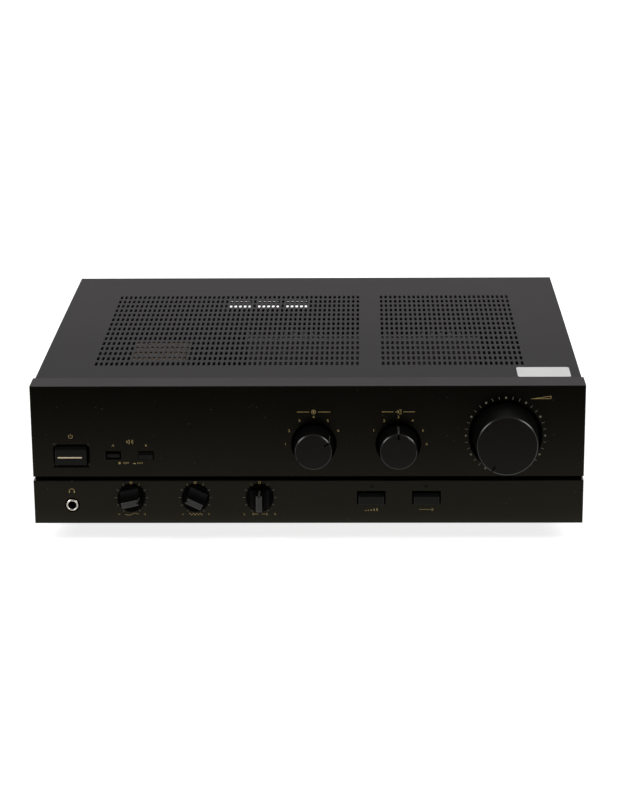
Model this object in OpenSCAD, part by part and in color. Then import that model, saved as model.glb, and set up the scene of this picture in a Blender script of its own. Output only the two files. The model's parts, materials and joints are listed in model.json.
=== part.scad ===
// Full-width stereo amplifier: steel case, two-part fascia, six turning controls,
// five push buttons, and the power, signal and terminal parts that the case holds.
// Lengths are in millimetres. X runs to the right seen from the front, Y to the back, Z up.

/* [Fascia] */
// Width of the fascia, the widest piece
fascia_w = 420; // [380:1:460]
// Height of the lower fascia
lower_h = 34.5; // [33:0.5:45]
// Height of the shadow groove between the two fascias
groove_h = 3.2; // [2:0.1:8]
// Height of the upper fascia
upper_h = 72.1; // [70:0.1:90]
// Depth of both fascias from front face to rear edge
fascia_d = 22.5; // [18:0.5:30]
// Thickness of a fascia's front wall
fascia_t = 3; // [2.5:0.1:4]
// Thickness of a fascia's top, bottom and side walls
fascia_side_t = 2.5; // [1.5:0.1:4]
// Chamfer round the outer front edges of the fascias
fascia_chamfer = 0.4; // [0.2:0.1:2]
// Chamfer on the two edges that face the groove
groove_chamfer = 0.4; // [0.2:0.1:1]
// How far the rib that closes the groove lies behind the front face
groove_d = 6; // [4:0.5:12]

/* [Case] */
// How far the fascia stands out past each side of the case
case_step = 1.3; // [0.5:0.1:6]
// Depth from the fascia's front face to the rear panel's outer face
case_d = 337; // [325:1:400]
// Thickness of the cover's sheet
cover_t = 1; // [0.7:0.1:1.5]
// Thickness of the base, frame and rear panel sheets
sheet_t = 1.2; // [0.8:0.1:2]
// How far the cover's crown lies below the fascia's top
cover_drop = 0.4; // [0:0.1:2]
// Rise of the cover's crown from its front and rear edges to its middle
crown_h = 0.4; // [0.2:0.1:1]
// Height of the cover's rear lip
lip_h = 9; // [7:0.5:12]
// Height of the base's folded side flanges
side_flange_h = 16; // [14:1:24]
// Height of the base's folded front and rear flanges
end_flange_h = 6; // [5:0.5:7]
// Gap between folded sheets that lie side by side
sheet_gap = 0.2; // [0.1:0.1:0.5]

/* [Vents] */
// Width of a vent slot in the cover
slot_w = 2.2; // [1.6:0.1:2.8]
// Length of a vent slot, front to back
slot_l = 9.5; // [6:0.5:12]
// Spacing of the slot columns
slot_pitch_x = 4; // [3.6:0.1:4.2]
// Spacing of the slot rows
slot_pitch_y = 14.65; // [13:0.05:16]
// Number of slot rows
slot_rows = 15; // [10:1:16]
// Number of slot columns in the left field
left_columns = 52; // [30:1:52]
// Number of columns left blank between the two fields
blank_columns = 4; // [2:1:6]
// Number of slot columns in the right field
right_columns = 28; // [10:1:28]
// Distance from the fascia's front face to the front row of slots
first_row_y = 63.4; // [58:0.1:70]
// Number of vents in each of the base's two rows
base_vents = 12; // [6:1:14]
// Spacing of the base's vents
base_vent_pitch = 14; // [10:0.5:15]
// Width of a base vent
base_vent_w = 4; // [2:0.5:6]
// Length of a base vent, front to back
base_vent_l = 34; // [20:1:40]
// Distance of the base's two vent rows from the heat sink's front face
base_vent_y = 26; // [22:1:30]
// Width of a rear panel vent
rear_vent_w = 18.4; // [12:0.2:20]
// Spacing of the rear vent columns
rear_vent_pitch = 25.3; // [22:0.1:28]
// Place of the middle rear vent column
rear_vent_x = -42.1; // [-60:0.1:-30]
// Heights of the two rear vent rows' middles above the case bottom
rear_vent_z = [84, 88.9]; // [80:0.1:95]
// Heights of the two rear vent rows
rear_vent_h = [4.2, 2.6]; // [2:0.1:4.4]

/* [Feet] */
// Height of the feet
foot_h = 14; // [8:0.5:20]
// Radius of a foot where it meets the case
foot_r = 21; // [16:0.5:26]
// Radius of a foot at the floor
foot_floor_r = 18; // [14:0.5:24]
// Distance of the feet from the case's sides
foot_side = 47; // [30:1:80]
// Distance of the front feet from the fascia's front face
foot_front_y = 72; // [60:1:100]
// Distance of the rear feet from the rear panel
foot_rear_y = 45; // [32:1:70]
// Radius of the recess for a foot's screw
foot_recess_r = 7; // [6:0.5:9]
// Thickness of a foot over its screw recess
foot_roof = 6; // [4:0.5:7]

/* [Volume] */
// Distance of the volume control from the fascia's right end
volume_x = 60; // [50:0.5:70]
// Height of the volume control above the upper fascia's lower edge
volume_z = 32.6; // [30:0.1:36]
// Radius of the volume knob at the fascia
volume_base_r = 25; // [20:0.1:26]
// Radius of the volume knob's face
volume_face_r = 22.9; // [19:0.1:25]
// How far the volume knob stands out of the fascia
volume_out = 26.5; // [20:0.5:32]
// Radius of the round well behind the volume knob
volume_well_r = 27.6; // [26.6:0.1:29]
// Depth of the volume knob's well
volume_well_d = 1.4; // [1:0.1:1.8]
// Angle of the volume pointer at rest, clockwise from the top
volume_rest = -150; // [-150:1:150]
// Width and height of the volume potentiometer
volume_pot_w = 28; // [22:1:34]
// Depth of the volume potentiometer
volume_pot_d = 26; // [16:1:34]

/* [Selectors] */
// Distances of the recording and input selectors from the fascia's right end
selector_x = [205.2, 141.1]; // [120:0.1:230]
// Height of the selectors above the upper fascia's lower edge
selector_z = 26.1; // [22:0.1:30]
// Radius of a selector knob at the fascia
selector_base_r = 14.7; // [12:0.1:15.5]
// Radius of a selector knob's face
selector_face_r = 14; // [11.5:0.1:15]
// How far a selector knob stands out of the fascia
selector_out = 20; // [15:0.5:24]
// Radius of the round well behind a selector knob
selector_well_r = 17; // [16.5:0.1:18]
// Depth of a selector knob's well
selector_well_d = 1.6; // [1:0.1:1.8]
// Chamfer round the mouth of a control's well
well_chamfer = 0.4; // [0.2:0.1:0.8]
// Angles of the two selector pointers at rest, clockwise from the top
selector_rest = [60, 0]; // [-90:30:90]
// Radius of a selector switch
selector_switch_r = 15; // [12:0.5:18]
// Depth of a selector switch
selector_switch_d = 22; // [16:1:30]

/* [Tone controls] */
// Distances of the bass, treble and balance controls from the fascia's left end
tone_x = [74.8, 123.9, 173.1]; // [60:0.1:190]
// Height of the tone controls above the lower fascia's lower edge
tone_z = 20.9; // [19:0.1:24]
// Radius of a tone knob's skirt
tone_skirt_r = 10.6; // [10.5:0.1:11.5]
// Thickness of a tone knob's skirt
tone_skirt_t = 2.4; // [1.5:0.1:3]
// Half the length of a tone knob's grip where it leaves the skirt
tone_root_r = 7.3; // [6.5:0.1:7.4]
// Half the length of a tone knob's grip at its front face
tone_tip_r = 6.3; // [5:0.1:6.5]
// Half the thickness of a tone knob's grip where it leaves the skirt
tone_root_w = 7.3; // [6:0.1:7.4]
// Thickness of a tone knob's grip at its front face
tone_blade = 4.4; // [3.6:0.1:6]
// Radius of the hollow flanks of a tone knob's grip
tone_flank_r = 21; // [18:0.5:24]
// Chamfer round the front face of a tone knob's grip
tone_edge = 0.3; // [0.1:0.1:0.6]
// How far a tone knob stands out of the fascia
tone_out = 16; // [14.5:0.5:17]
// Angles of the three tone pointers at rest, clockwise from the top
tone_rest = [78, -64, 0]; // [-150:1:150]
// Width and height of a tone potentiometer
tone_pot_w = 20; // [15:1:22]
// Depth of a tone potentiometer
tone_pot_d = 12; // [8:1:16]

/* [Shafts] */
// Radius of the control shafts
shaft_r = 3; // [2.5:0.1:3.2]
// Running clearance of a shaft in its bush
shaft_clear = 0.05; // [0.02:0.01:0.1]
// Distance from a shaft's axis to the flat that drives its knob
shaft_flat = 1.5; // [1:0.1:2]
// Length of a shaft inside its control
shaft_in = 7; // [5:0.5:8]
// Length of a shaft inside its knob
shaft_grip = 10; // [6:0.5:11]
// Outer radius of a control's bush
bush_r = 4.5; // [4:0.1:5]
// Length of a bush in front of the frame
bush_l = 7; // [5:0.5:9]
// Width across a nut's corners, halved
nut_r = 7; // [6:0.1:8]
// Thickness of a nut
nut_t = 2.4; // [1.8:0.1:3]
// Gap between a knob's back and what it turns in front of
knob_gap = 0.6; // [0.3:0.1:0.9]
// Wall thickness of the hollow knobs
knob_wall = 2.5; // [2:0.1:4]
// Thickness of a hollow knob's face
knob_roof = 4; // [3:0.1:5]
// Radius of the hub inside a hollow knob
hub_r = 6; // [5:0.1:7]
// Chamfer round a knob's face
knob_chamfer = 0.8; // [0.4:0.1:1.2]
// Width of a knob's pointer groove
pointer_w = 1.5; // [0.8:0.1:2]
// Depth of a knob's pointer groove
pointer_d = 1.1; // [0.5:0.1:1.4]
// Length of the pointer's notch on a knob's face
pointer_l = 4.6; // [2:0.1:6]

/* [Buttons] */
// Distance of the power button from the fascia's left end
power_x = 29.8; // [25:0.1:40]
// Height of the power button above the upper fascia's lower edge
power_z = 17.2; // [14:0.1:20]
// Width and height of the power button
power_size = [23.9, 14.3]; // [10:0.1:27]
// Width of the bevel round the power button
power_bevel = 1.8; // [0.5:0.1:2]
// Depth of that bevel at the opening
power_bevel_d = 0.7; // [0.3:0.1:1.5]
// How far the power button stands out at rest
power_out = 2.5; // [0.5:0.1:4]
// Gap round the power button in its opening
power_gap = 0.8; // [0.3:0.1:1]
// Distances of the two speaker buttons from the fascia's left end
speaker_x = [62, 87.1]; // [56:0.1:100]
// Height of the speaker buttons above the upper fascia's lower edge
speaker_z = 17.3; // [14:0.1:22]
// Width and height of a speaker button
speaker_size = [10.2, 5.3]; // [5:0.1:14]
// Gap round a speaker button in its opening
speaker_gap = 0.7; // [0.3:0.1:1]
// How far each speaker button stands out at rest; the first is latched in
speaker_out = [-1.2, 2.2]; // [-2:0.1:3]
// Distances of the loudness and direct buttons from the fascia's right end
sound_x = [161.6, 119.5]; // [100:0.1:180]
// Height of the loudness and direct buttons above the lower fascia's lower edge
sound_z = 20.65; // [18:0.05:22]
// Width and height of a loudness or direct button
sound_size = [19.4, 8.4]; // [6:0.1:24]
// Gap round a loudness or direct button in its opening
sound_gap = 1.2; // [0.3:0.1:1.5]
// How far the loudness and direct buttons stand out at rest
sound_out = 4.4; // [3.6:0.1:6]
// Depth of a button's cap behind its face
cap_d = 9; // [7:0.5:12]
// Slope that takes off the upper front edge of a button
cap_slope = 2.2; // [1:0.1:2.6]
// Chamfer round a button's face
cap_chamfer = 0.5; // [0.2:0.1:0.8]
// Thickness of a button's square stem
stem_w = 4; // [3:0.1:5]
// Gap round a stem in its switch
stem_clear = 0.15; // [0.1:0.05:0.3]
// Length of a stem inside its switch at rest
stem_in = 8; // [7:0.5:10]
// Travel of the push buttons
button_travel = 3.4; // [2:0.1:4]
// Width, height and depth of the power switch
power_switch_size = [24, 20, 32]; // [16:1:36]
// Width, height and depth of a small push switch
push_switch_size = [12, 10, 24]; // [8:1:28]

/* [Phones and lamps] */
// Distance of the phones jack from the fascia's left end
phones_x = 29.2; // [20:0.1:40]
// Height of the phones jack above the lower fascia's lower edge
phones_z = 15; // [14.5:0.1:18]
// Radius of the phones jack's bore
phones_bore_r = 3.2; // [3.18:0.01:3.3]
// Outer radius of the jack's metal sleeve
phones_sleeve_r = 4.6; // [4.2:0.05:5.4]
// Chamfer round the sleeve's front
phones_chamfer = 0.4; // [0.2:0.1:0.6]
// Radius of the opening round the sleeve
phones_hole_r = 5.8; // [5.6:0.1:7]
// How far the sleeve stands out of the fascia
phones_out = 0.6; // [0:0.1:2]
// Width and height of the jack's body
phones_body_w = 14; // [13:0.5:16]
// Depth of the jack's body
phones_body_d = 26; // [22:1:32]
// Distances of the two lamps from the fascia's right end
lamp_x = [160.9, 119.8]; // [100:0.1:180]
// Height of the lamps above the lower fascia's lower edge
lamp_z = 29.9; // [28.5:0.1:30.5]
// Radius of a lamp's light guide
lamp_r = 1; // [0.6:0.1:1.4]

/* [Power supply] */
// Distance of the transformer's middle from the case's left side
transformer_x = 88.7; // [80:0.1:96]
// Distance of the transformer's middle from the fascia's front face
transformer_y = 114.5; // [110:0.5:130]
// Length of the transformer's core, front to back
core_l = 57; // [52:1:70]
// Gap between the transformer's strap and the cover
core_gap = 4; // [3:0.1:10]
// Thickness of the core's stack of laminations
core_stack = 46; // [36:1:50]
// Thickness of the core's outer legs
core_leg = 15; // [12:1:16]
// Thickness of the core's middle leg
core_middle = 32; // [26:1:34]
// How far the winding bulges out of the core's faces
coil_bulge = 14; // [8:1:20]
// Gap between the winding and the core
coil_gap = 0.3; // [0.2:0.1:0.6]
// Thickness of the strap that holds the transformer
strap_t = 1.5; // [1:0.1:2]
// Length of the strap's feet, in front of the core and behind it
strap_foot = 11; // [9:1:12]
// Radius of a smoothing capacitor
capacitor_r = 17.5; // [12:0.5:20]
// Height of a smoothing capacitor
capacitor_h = 62; // [40:1:80]
// Distances of the smoothing capacitors from the main board's left edge
capacitor_x = [40, 84]; // [20:1:120]
// Distance of the smoothing capacitors from the fascia's front face
capacitor_y = 132; // [110:1:170]
// Chamfer round a smoothing capacitor's top
capacitor_edge = 1; // [0.5:0.1:2]
// Height of the groove rolled into a smoothing capacitor
bead_z = 5; // [3:0.5:10]
// Width of the rolled groove
bead_w = 2; // [1:0.1:3]
// Depth of the rolled groove
bead_d = 1.2; // [0.5:0.1:2]

/* [Boards and heat sink] */
// Gap between the transformer's winding and the main board
board_gap = 3.5; // [2:0.5:10]
// Distance of the main board's right edge from the case's side
board_side = 14; // [8:1:24]
// Distance of the main board's front edge from the fascia's front face
board_y = 76; // [70:1:90]
// Distance of the main board's rear edge from the rear panel
board_rear = 25; // [18:1:34]
// Thickness of the boards
board_t = 1.6; // [1:0.1:2.4]
// Height of the standoffs under the main board
standoff_h = 8; // [5:0.5:12]
// Radius of a standoff
standoff_r = 3.5; // [2.5:0.1:5]
// Length of the heat sink
sink_l = 196; // [150:1:200]
// Distance of the heat sink's left end from the main board's left edge
sink_x = 24; // [8:1:30]
// Distance of the heat sink's front face from the fascia's front face
sink_y = 206; // [190:1:215]
// Height of the heat sink
sink_h = 78; // [50:1:84]
// Thickness of the heat sink's back plate
sink_t = 5; // [3:0.5:8]
// Depth of the heat sink's fins
fin_d = 26; // [15:1:32]
// Thickness of a fin
fin_t = 1.8; // [1.2:0.1:2.4]
// Number of fins
fins = 26; // [12:1:28]
// Width, thickness and height of a power transistor
transistor_size = [16, 5, 21]; // [4:1:26]
// Spacing of the power transistors along the heat sink
transistor_pitch = 44; // [30:1:50]
// Height of the power transistors above the main board
transistor_z = 34; // [10:1:50]
// Width, depth and height of the speaker relay
relay_size = [28, 22, 27]; // [15:1:40]
// Distance of the speaker relay's middle from the main board's left edge
relay_x = 88; // [60:1:110]
// Distance of the speaker relay's middle from the main board's rear edge
relay_y = 27; // [20:1:32]
// Width of the tone board beyond its outer potentiometers
tone_board_over = 16; // [12:1:20]
// Height of the tone board
tone_board_h = 26; // [22:1:30]

/* [Rear sockets] */
// Distances of the four blocks of phono sockets from the case's right side
socket_block_x = [153, 113, 73, 33]; // [27:1:165]
// Height of the socket blocks' middle above the case bottom
socket_block_z = 55; // [40:1:75]
// Spacing of the sockets across a block
socket_pitch_x = 18; // [14:0.5:20]
// Spacing of the sockets up a block
socket_pitch_z = 19; // [16:0.5:24]
// Outer radius of a socket's shell
socket_r = 4.15; // [4:0.05:4.3]
// Wall thickness of a socket's shell
socket_wall = 0.6; // [0.4:0.05:0.8]
// How far a socket stands out of the rear panel
socket_out = 9; // [7:0.5:11]
// Radius of a socket's centre hole
socket_pin_r = 1.6; // [1.5:0.05:1.8]
// Depth of an insert's face behind its shell's end
insert_set = 0.8; // [0.2:0.1:2]
// Depth of a socket block behind the rear panel
socket_block_d = 13; // [8:1:20]
// Margin of a socket block round its sockets
socket_margin = 7; // [5.5:0.5:9]
// Gap round a shell in its rear panel hole
socket_hole_gap = 0.8; // [0.3:0.1:1.5]
// Length of a shell inside its block
socket_in = 4; // [2:0.5:6]

/* [Speaker terminals] */
// Place of the terminal housings' middle, from the middle plane
terminal_x = -58; // [-80:1:-40]
// Heights of the two housings' middles above the case bottom
terminal_z = [58, 26]; // [20:1:66]
// Spacing of the terminals across a housing
terminal_pitch = 17; // [15.5:0.5:20]
// Number of terminals in a housing
terminals = 4; // [4]
// Width of the rim round a housing's terminals
terminal_rim = 2.5; // [1.5:0.5:4]
// Height of a housing
terminal_h = 26; // [24:1:29]
// How far a housing stands out of the rear panel
terminal_out = 13; // [12.6:0.1:16]
// Depth of a housing behind the rear panel's face
terminal_in = 10; // [7:1:16]
// Width of the pocket that holds a lever
pocket_w = 13; // [11:0.5:13.5]
// Gap on each side of a lever
lever_gap = 0.5; // [0.3:0.1:1]
// Gap between a lever's hub and its pocket's floor
pocket_foot = 1.4; // [0.8:0.1:2]
// How far a lever's pivot lies below its terminal's middle
pivot_drop = 5.2; // [4.8:0.1:5.6]
// How far a lever's pivot lies outside the rear panel's face
pivot_z = 1; // [0.5:0.1:1.5]
// Radius of a lever's pivot pin
pivot_r = 1; // [0.8:0.05:1.2]
// Running clearance of a lever on its pin
pivot_clear = 0.06; // [0.03:0.01:0.1]
// Radius of a lever's hub
lever_hub_r = 2.6; // [2.2:0.1:3]
// Length of a lever from its pivot
lever_l = 11; // [9:0.5:11.3]
// Thickness of a lever at its end
lever_t = 2.8; // [2:0.1:3.4]
// Angle of a lever at rest, above the horizontal
lever_rest = 20; // [15:1:24]
// Side of a square wire hole
wire_hole = 3.4; // [2:0.1:3.8]

/* [Rear fittings] */
// Distance of the ground post from the case's right side
ground_x = 183; // [178:1:190]
// Height of the ground post above the case bottom
ground_z = 40; // [20:1:70]
// Radius of the ground post's stud
ground_stud_r = 2; // [1.5:0.1:2.5]
// Radius of the ground post's thumb nut
ground_nut_r = 5.5; // [4:0.1:7]
// Thickness of the thumb nut
ground_nut_t = 6; // [4:0.5:8]
// Chamfer round the thumb nut's end
ground_chamfer = 1; // [0.5:0.1:1.5]
// Length of the ground post's stud inside the case
ground_in = 4; // [2:0.5:8]
// Distance of the mains cord gland from the case's left side
gland_x = 31; // [20:1:60]
// Height of the mains cord gland above the case bottom
gland_z = 34; // [20:1:70]
// Radius of the gland's bore
gland_bore_r = 4; // [3:0.1:5]
// Wall thickness of the gland
gland_wall = 2; // [1.5:0.1:3]
// Width of the gland's rims
gland_rim = 2.5; // [1.5:0.1:4]
// Thickness of each rim
gland_rim_t = 2; // [1.5:0.1:3]

/* [Screws] */
// Radius of a case screw's shank
screw_r = 1.8; // [1.4:0.1:2]
// Radius of a case screw's head
screw_head_r = 3.6; // [3:0.1:4]
// Height of a case screw's head
screw_head_h = 1.8; // [1.2:0.1:2.2]
// Width of the cross in a screw's head
cross_w = 1; // [0.6:0.1:1.4]
// Length of the cross
cross_l = 4.2; // [3:0.1:5]
// Depth of the cross
cross_d = 1; // [0.5:0.1:1.2]
// Length of a case screw under its head
screw_l = 7; // [5:0.5:10]
// Gap round a screw in its hole
screw_gap = 0.15; // [0.1:0.05:0.3]
// Height of the side screws above the case bottom
side_screw_z = 9; // [8:0.5:11]
// Distance of the side screws from the case's front and rear ends
side_screw_inset = 46; // [20:1:80]
// Distance of the outer rear screws from the case's sides
rear_screw_side = 57; // [20:1:90]
// Radius of a foot screw's head
foot_screw_head_r = 4.5; // [3.5:0.1:5]

/* [Hidden] */
$fn = 48;

// Overshoot of a cutting tool past the face that it opens
over = 1;
// Face of the frame that the fascias seat on, and its rear face
frame_y = fascia_d;
frame_back = frame_y + sheet_t;
// Heights of the two fascias' lower edges and of the fascia's top
lower_z = foot_h;
upper_z = lower_z + lower_h + groove_h;
top_z = upper_z + upper_h;
// Upper face of the base sheet, and inner face of the rear panel
floor_z = foot_h + sheet_t;
rear_inner = case_d - sheet_t;
// Width over the folded steel cover, and half widths inside it and over the sheets that it encloses
case_w = fascia_w - 2 * case_step;
cover_inner_x = case_w / 2 - cover_t;
sheet_x = cover_inner_x - sheet_gap;
// Upper edge of the sheets that stand under the cover's front and rear edges
sheet_top = top_z - cover_drop - crown_h - cover_t - sheet_gap;
// The whole object is centred front to back on its knob face and its terminals
front_most = -volume_out;
rear_most = case_d + max(terminal_out, socket_out);
centre_y = (front_most + rear_most) / 2;
// Places of the controls, from the middle plane
volume_cx = fascia_w / 2 - volume_x;
selector_cx = [for (x = selector_x) fascia_w / 2 - x];
tone_cx = [for (x = tone_x) x - fascia_w / 2];
power_cx = power_x - fascia_w / 2;
speaker_cx = [for (x = speaker_x) x - fascia_w / 2];
sound_cx = [for (x = sound_x) fascia_w / 2 - x];
phones_cx = phones_x - fascia_w / 2;
lamp_cx = [for (x = lamp_x) fascia_w / 2 - x];
// Heights of the controls
volume_cz = upper_z + volume_z;
selector_cz = upper_z + selector_z;
tone_cz = lower_z + tone_z;
power_cz = upper_z + power_z;
speaker_cz = upper_z + speaker_z;
sound_cz = lower_z + sound_z;
phones_cz = lower_z + phones_z;
lamp_cz = lower_z + lamp_z;
// Column and row lines of the vent field, and the fold lines of the crowned sheet between its rows
columns = left_columns + blank_columns + right_columns;
cover_rear = case_d + cover_t;
fold_y = concat(
  [frame_y],
  [for (j = [0:slot_rows]) first_row_y + (j - 0.5) * slot_pitch_y],
  [cover_rear]
);
// Places of the knobs' backs, in front of the fascia or inside a well
volume_back = knob_gap - volume_well_d;
selector_back = knob_gap - selector_well_d;
tone_back = knob_gap;
// Depth to which a shaft enters a blade knob, which is thinner than the round knobs
tone_grip = shaft_grip - tone_skirt_t;
// Places of the feet
foot_cx = case_w / 2 - foot_side;
foot_y = [foot_front_y, case_d - foot_rear_y];
// Places of the screws that hold the cover and the rear panel; heads on the low flange stay inside its height
side_screw_y = [frame_back + side_screw_inset, rear_inner - side_screw_inset];
rear_screw_cx = [rear_screw_side - case_w / 2, 0, case_w / 2 - rear_screw_side];
lip_screw_z = crown_z(cover_rear) - lip_h / 2;
flange_screw_z = floor_z + end_flange_h / 2;
flange_head_r = min(screw_head_r, end_flange_h / 2 + sheet_t);
// Place and height of the transformer, and the window of its core above and below the middle leg
transformer_cx = transformer_x - case_w / 2;
core_h = crown_z(transformer_y) - cover_t - core_gap - strap_t - floor_z;
core_window = (core_h - core_middle - 2 * core_leg) / 2;
// Edges and faces of the main board, between the transformer's winding and the case's side
board_left = transformer_cx + core_stack / 2 + coil_bulge + board_gap;
board_w = case_w / 2 - board_side - board_left;
board_cx = board_left + board_w / 2;
board_d = case_d - board_rear - board_y;
board_z = floor_z + standoff_h;
board_top = board_z + board_t;
// Places of the parts on the main board
capacitor_cx = [for (x = capacitor_x) board_left + x];
sink_cx = board_left + sink_x + sink_l / 2;
relay_cx = board_left + relay_x;
relay_cy = board_y + board_d - relay_y;
// Places of the rear fittings, from the middle plane
socket_block_cx = [for (x = socket_block_x) case_w / 2 - x];
ground_cx = case_w / 2 - ground_x;
gland_cx = gland_x - case_w / 2;
// Sizes of a terminal housing inside and outside the rear panel
terminal_w = terminals * terminal_pitch + 2 * terminal_rim;
terminal_inner_w = terminal_w - 2 * terminal_rim;
terminal_inner_h = terminal_h - 2 * terminal_rim;
// Lower and upper ends of a lever's pocket, clear of the lever over its travel
pocket_low = -pivot_drop - lever_hub_r - pocket_foot;
pocket_high = lever_l * sin(lever_rest) + lever_t + lever_gap - pivot_drop;
pocket_back = pivot_z - lever_hub_r - lever_gap;

// Each part lies where the fascia's front face is the zero of Y, and this moves it to the object's frame
module place() {
  translate([0, -centre_y, 0]) children();
}

// Puts a shape drawn on the front face, with its own Z towards the viewer, at x and z
module on_front(x, z) {
  translate([x, 0, z]) rotate([90, 0, 0]) children();
}

// Puts a shape drawn on the rear panel's outer face, with its own Z towards a viewer behind, at x and z
module on_rear(x, z) {
  translate([x, case_d, z]) rotate([90, 0, 180]) children();
}

// Box centred on its own axis, from z0 to z1
module bar(w, h, z0, z1) {
  translate([-w / 2, -h / 2, z0]) cube([w, h, z1 - z0]);
}

// Cylinder from z0 to z1
module rod(r, z0, z1) {
  translate([0, 0, z0]) cylinder(r = r, h = z1 - z0);
}

// Block whose edges at z1 are chamfered by c, the one at its top by slope
module chamfer_block(w, h, z0, z1, c, slope) {
  intersection() {
    translate([0, h / 2, 0]) rotate([90, 0, 0]) linear_extrude(height = h)
      polygon([[-w / 2, z0], [w / 2, z0], [w / 2, z1 - c], [w / 2 - c, z1], [c - w / 2, z1], [-w / 2, z1 - c]]);
    translate([-w / 2, 0, 0]) rotate([90, 0, 90]) linear_extrude(height = w)
      polygon([
        [-h / 2, z0], [h / 2, z0], [h / 2, z1 - slope], [h / 2 - slope, z1], [c - h / 2, z1], [-h / 2, z1 - c]
      ]);
  }
}

// Funnel-shaped cut that opens from w by h at depth d to a bevel b wider all round at the face
module bevel_cut(w, h, b, d) {
  wide = b * (d + over) / d;
  intersection() {
    translate([0, h / 2 + wide, 0]) rotate([90, 0, 0]) linear_extrude(height = h + 2 * wide)
      polygon([[-w / 2, -d], [w / 2, -d], [w / 2 + wide, over], [-w / 2 - wide, over]]);
    translate([-w / 2 - wide, 0, 0]) rotate([90, 0, 90]) linear_extrude(height = w + 2 * wide)
      polygon([[-h / 2, -d], [h / 2, -d], [h / 2 + wide, over], [-h / 2 - wide, over]]);
  }
}

// Slot with round ends along Y
module slot(w, l) {
  translate([-w / 2, (w - l) / 2]) square([w, l - w]);
  for (s = [-1, 1]) translate([0, s * (l - w) / 2]) circle(r = w / 2);
}

// Round hole end with a driving flat
module flat_end(r, flat, z0, z1) {
  translate([0, 0, z0]) linear_extrude(height = z1 - z0) difference() {
    circle(r = r);
    translate([-r - over, -flat - 2 * r]) square([2 * (r + over), 2 * r]);
  }
}

// Fascia shell, open to the rear, with chamfered front edges at its top, bottom and sides
module fascia_shell(z0, h, c_low, c_high) {
  w = fascia_w / 2;
  c = fascia_chamfer;
  difference() {
    intersection() {
      translate([-w, 0, z0]) rotate([90, 0, 90]) linear_extrude(height = fascia_w)
        polygon([[0, c_low], [c_low, 0], [fascia_d, 0], [fascia_d, h], [c_high, h], [0, h - c_high]]);
      translate([0, 0, z0]) linear_extrude(height = h)
        polygon([[-w, c], [c - w, 0], [w - c, 0], [w, c], [w, fascia_d], [-w, fascia_d]]);
    }
    translate([fascia_side_t - w, fascia_t, z0 + fascia_side_t])
      cube([fascia_w - 2 * fascia_side_t, fascia_d, h - 2 * fascia_side_t]);
  }
}

// Hole in a fascia's front wall for a control's shaft and bush, with a round well in front of it
module control_hole(well_r, well_d) {
  rod(bush_r + knob_gap, -fascia_t - over, over);
  if (well_d > 0) {
    rod(well_r, -well_d, over);
    translate([0, 0, -well_chamfer])
      cylinder(r1 = well_r, r2 = well_r + well_chamfer + over, h = well_chamfer + over);
  }
}

// Opening in a fascia's front wall for a button's cap
module cap_hole(size, gap) {
  bar(size[0] + 2 * gap, size[1] + 2 * gap, -fascia_t - over, over);
}

module upper_fascia() {
  color([0.07, 0.07, 0.065]) difference() {
    fascia_shell(upper_z, upper_h, groove_chamfer, fascia_chamfer);
    on_front(volume_cx, volume_cz) control_hole(volume_well_r, volume_well_d);
    for (x = selector_cx) on_front(x, selector_cz) control_hole(selector_well_r, selector_well_d);
    on_front(power_cx, power_cz) cap_hole(power_size, power_gap);
    on_front(power_cx, power_cz)
      bevel_cut(power_size[0] + 2 * power_gap, power_size[1] + 2 * power_gap, power_bevel, power_bevel_d);
    for (x = speaker_cx) on_front(x, speaker_cz) cap_hole(speaker_size, speaker_gap);
  }
}

module lower_fascia() {
  color([0.09, 0.085, 0.075]) difference() {
    union() {
      fascia_shell(lower_z, lower_h, fascia_chamfer, groove_chamfer);
      translate([fascia_side_t - fascia_w / 2, groove_d, lower_z + lower_h - over])
        cube([fascia_w - 2 * fascia_side_t, fascia_side_t, groove_h + over]);
    }
    for (x = tone_cx) on_front(x, tone_cz) control_hole(0, 0);
    for (x = sound_cx) on_front(x, sound_cz) cap_hole(sound_size, sound_gap);
    for (x = lamp_cx) on_front(x, lamp_cz) rod(lamp_r + screw_gap, -fascia_t - over, over);
    on_front(phones_cx, phones_cz) rod(phones_hole_r, -fascia_t - over, over);
  }
}

// Height of the cover's outer surface, which rises as a shallow arch from its front and rear edges
function crown_z(y) =
  let (half = (cover_rear - frame_y) / 2, t = (y - frame_y) / half - 1)
  top_z - cover_drop - crown_h * t * t;

// Outline of the cover seen from the side, with its lower edge at depth below the crown line or at a level
function crown_line(drop) = [for (y = fold_y) [y, crown_z(y) - drop]];
function reversed(list) = [for (k = [len(list) - 1:-1:0]) list[k]];

// Sheet bent from the folded top, one side wall at each end, and the lip that closes it behind
module cover_shell() {
  low = foot_h + sheet_gap;
  translate([-case_w / 2, 0, 0]) rotate([90, 0, 90]) linear_extrude(height = case_w)
    polygon(concat(crown_line(0), reversed(crown_line(cover_t))));
  for (x = [-case_w / 2, cover_inner_x])
    translate([x, 0, 0]) rotate([90, 0, 90]) linear_extrude(height = cover_t)
      polygon(concat(crown_line(0), [[cover_rear, low], [frame_y, low]]));
  translate([-case_w / 2, case_d, crown_z(cover_rear) - lip_h]) cube([case_w, cover_t, lip_h]);
}

// Vent slots of one row, in the two fields
module slot_row() {
  for (i = [0:columns - 1])
    if (i < left_columns || i >= left_columns + blank_columns)
      translate([(i - (columns - 1) / 2) * slot_pitch_x, 0, 0])
        linear_extrude(height = 4 * over) slot(slot_w, slot_l);
}

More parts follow.
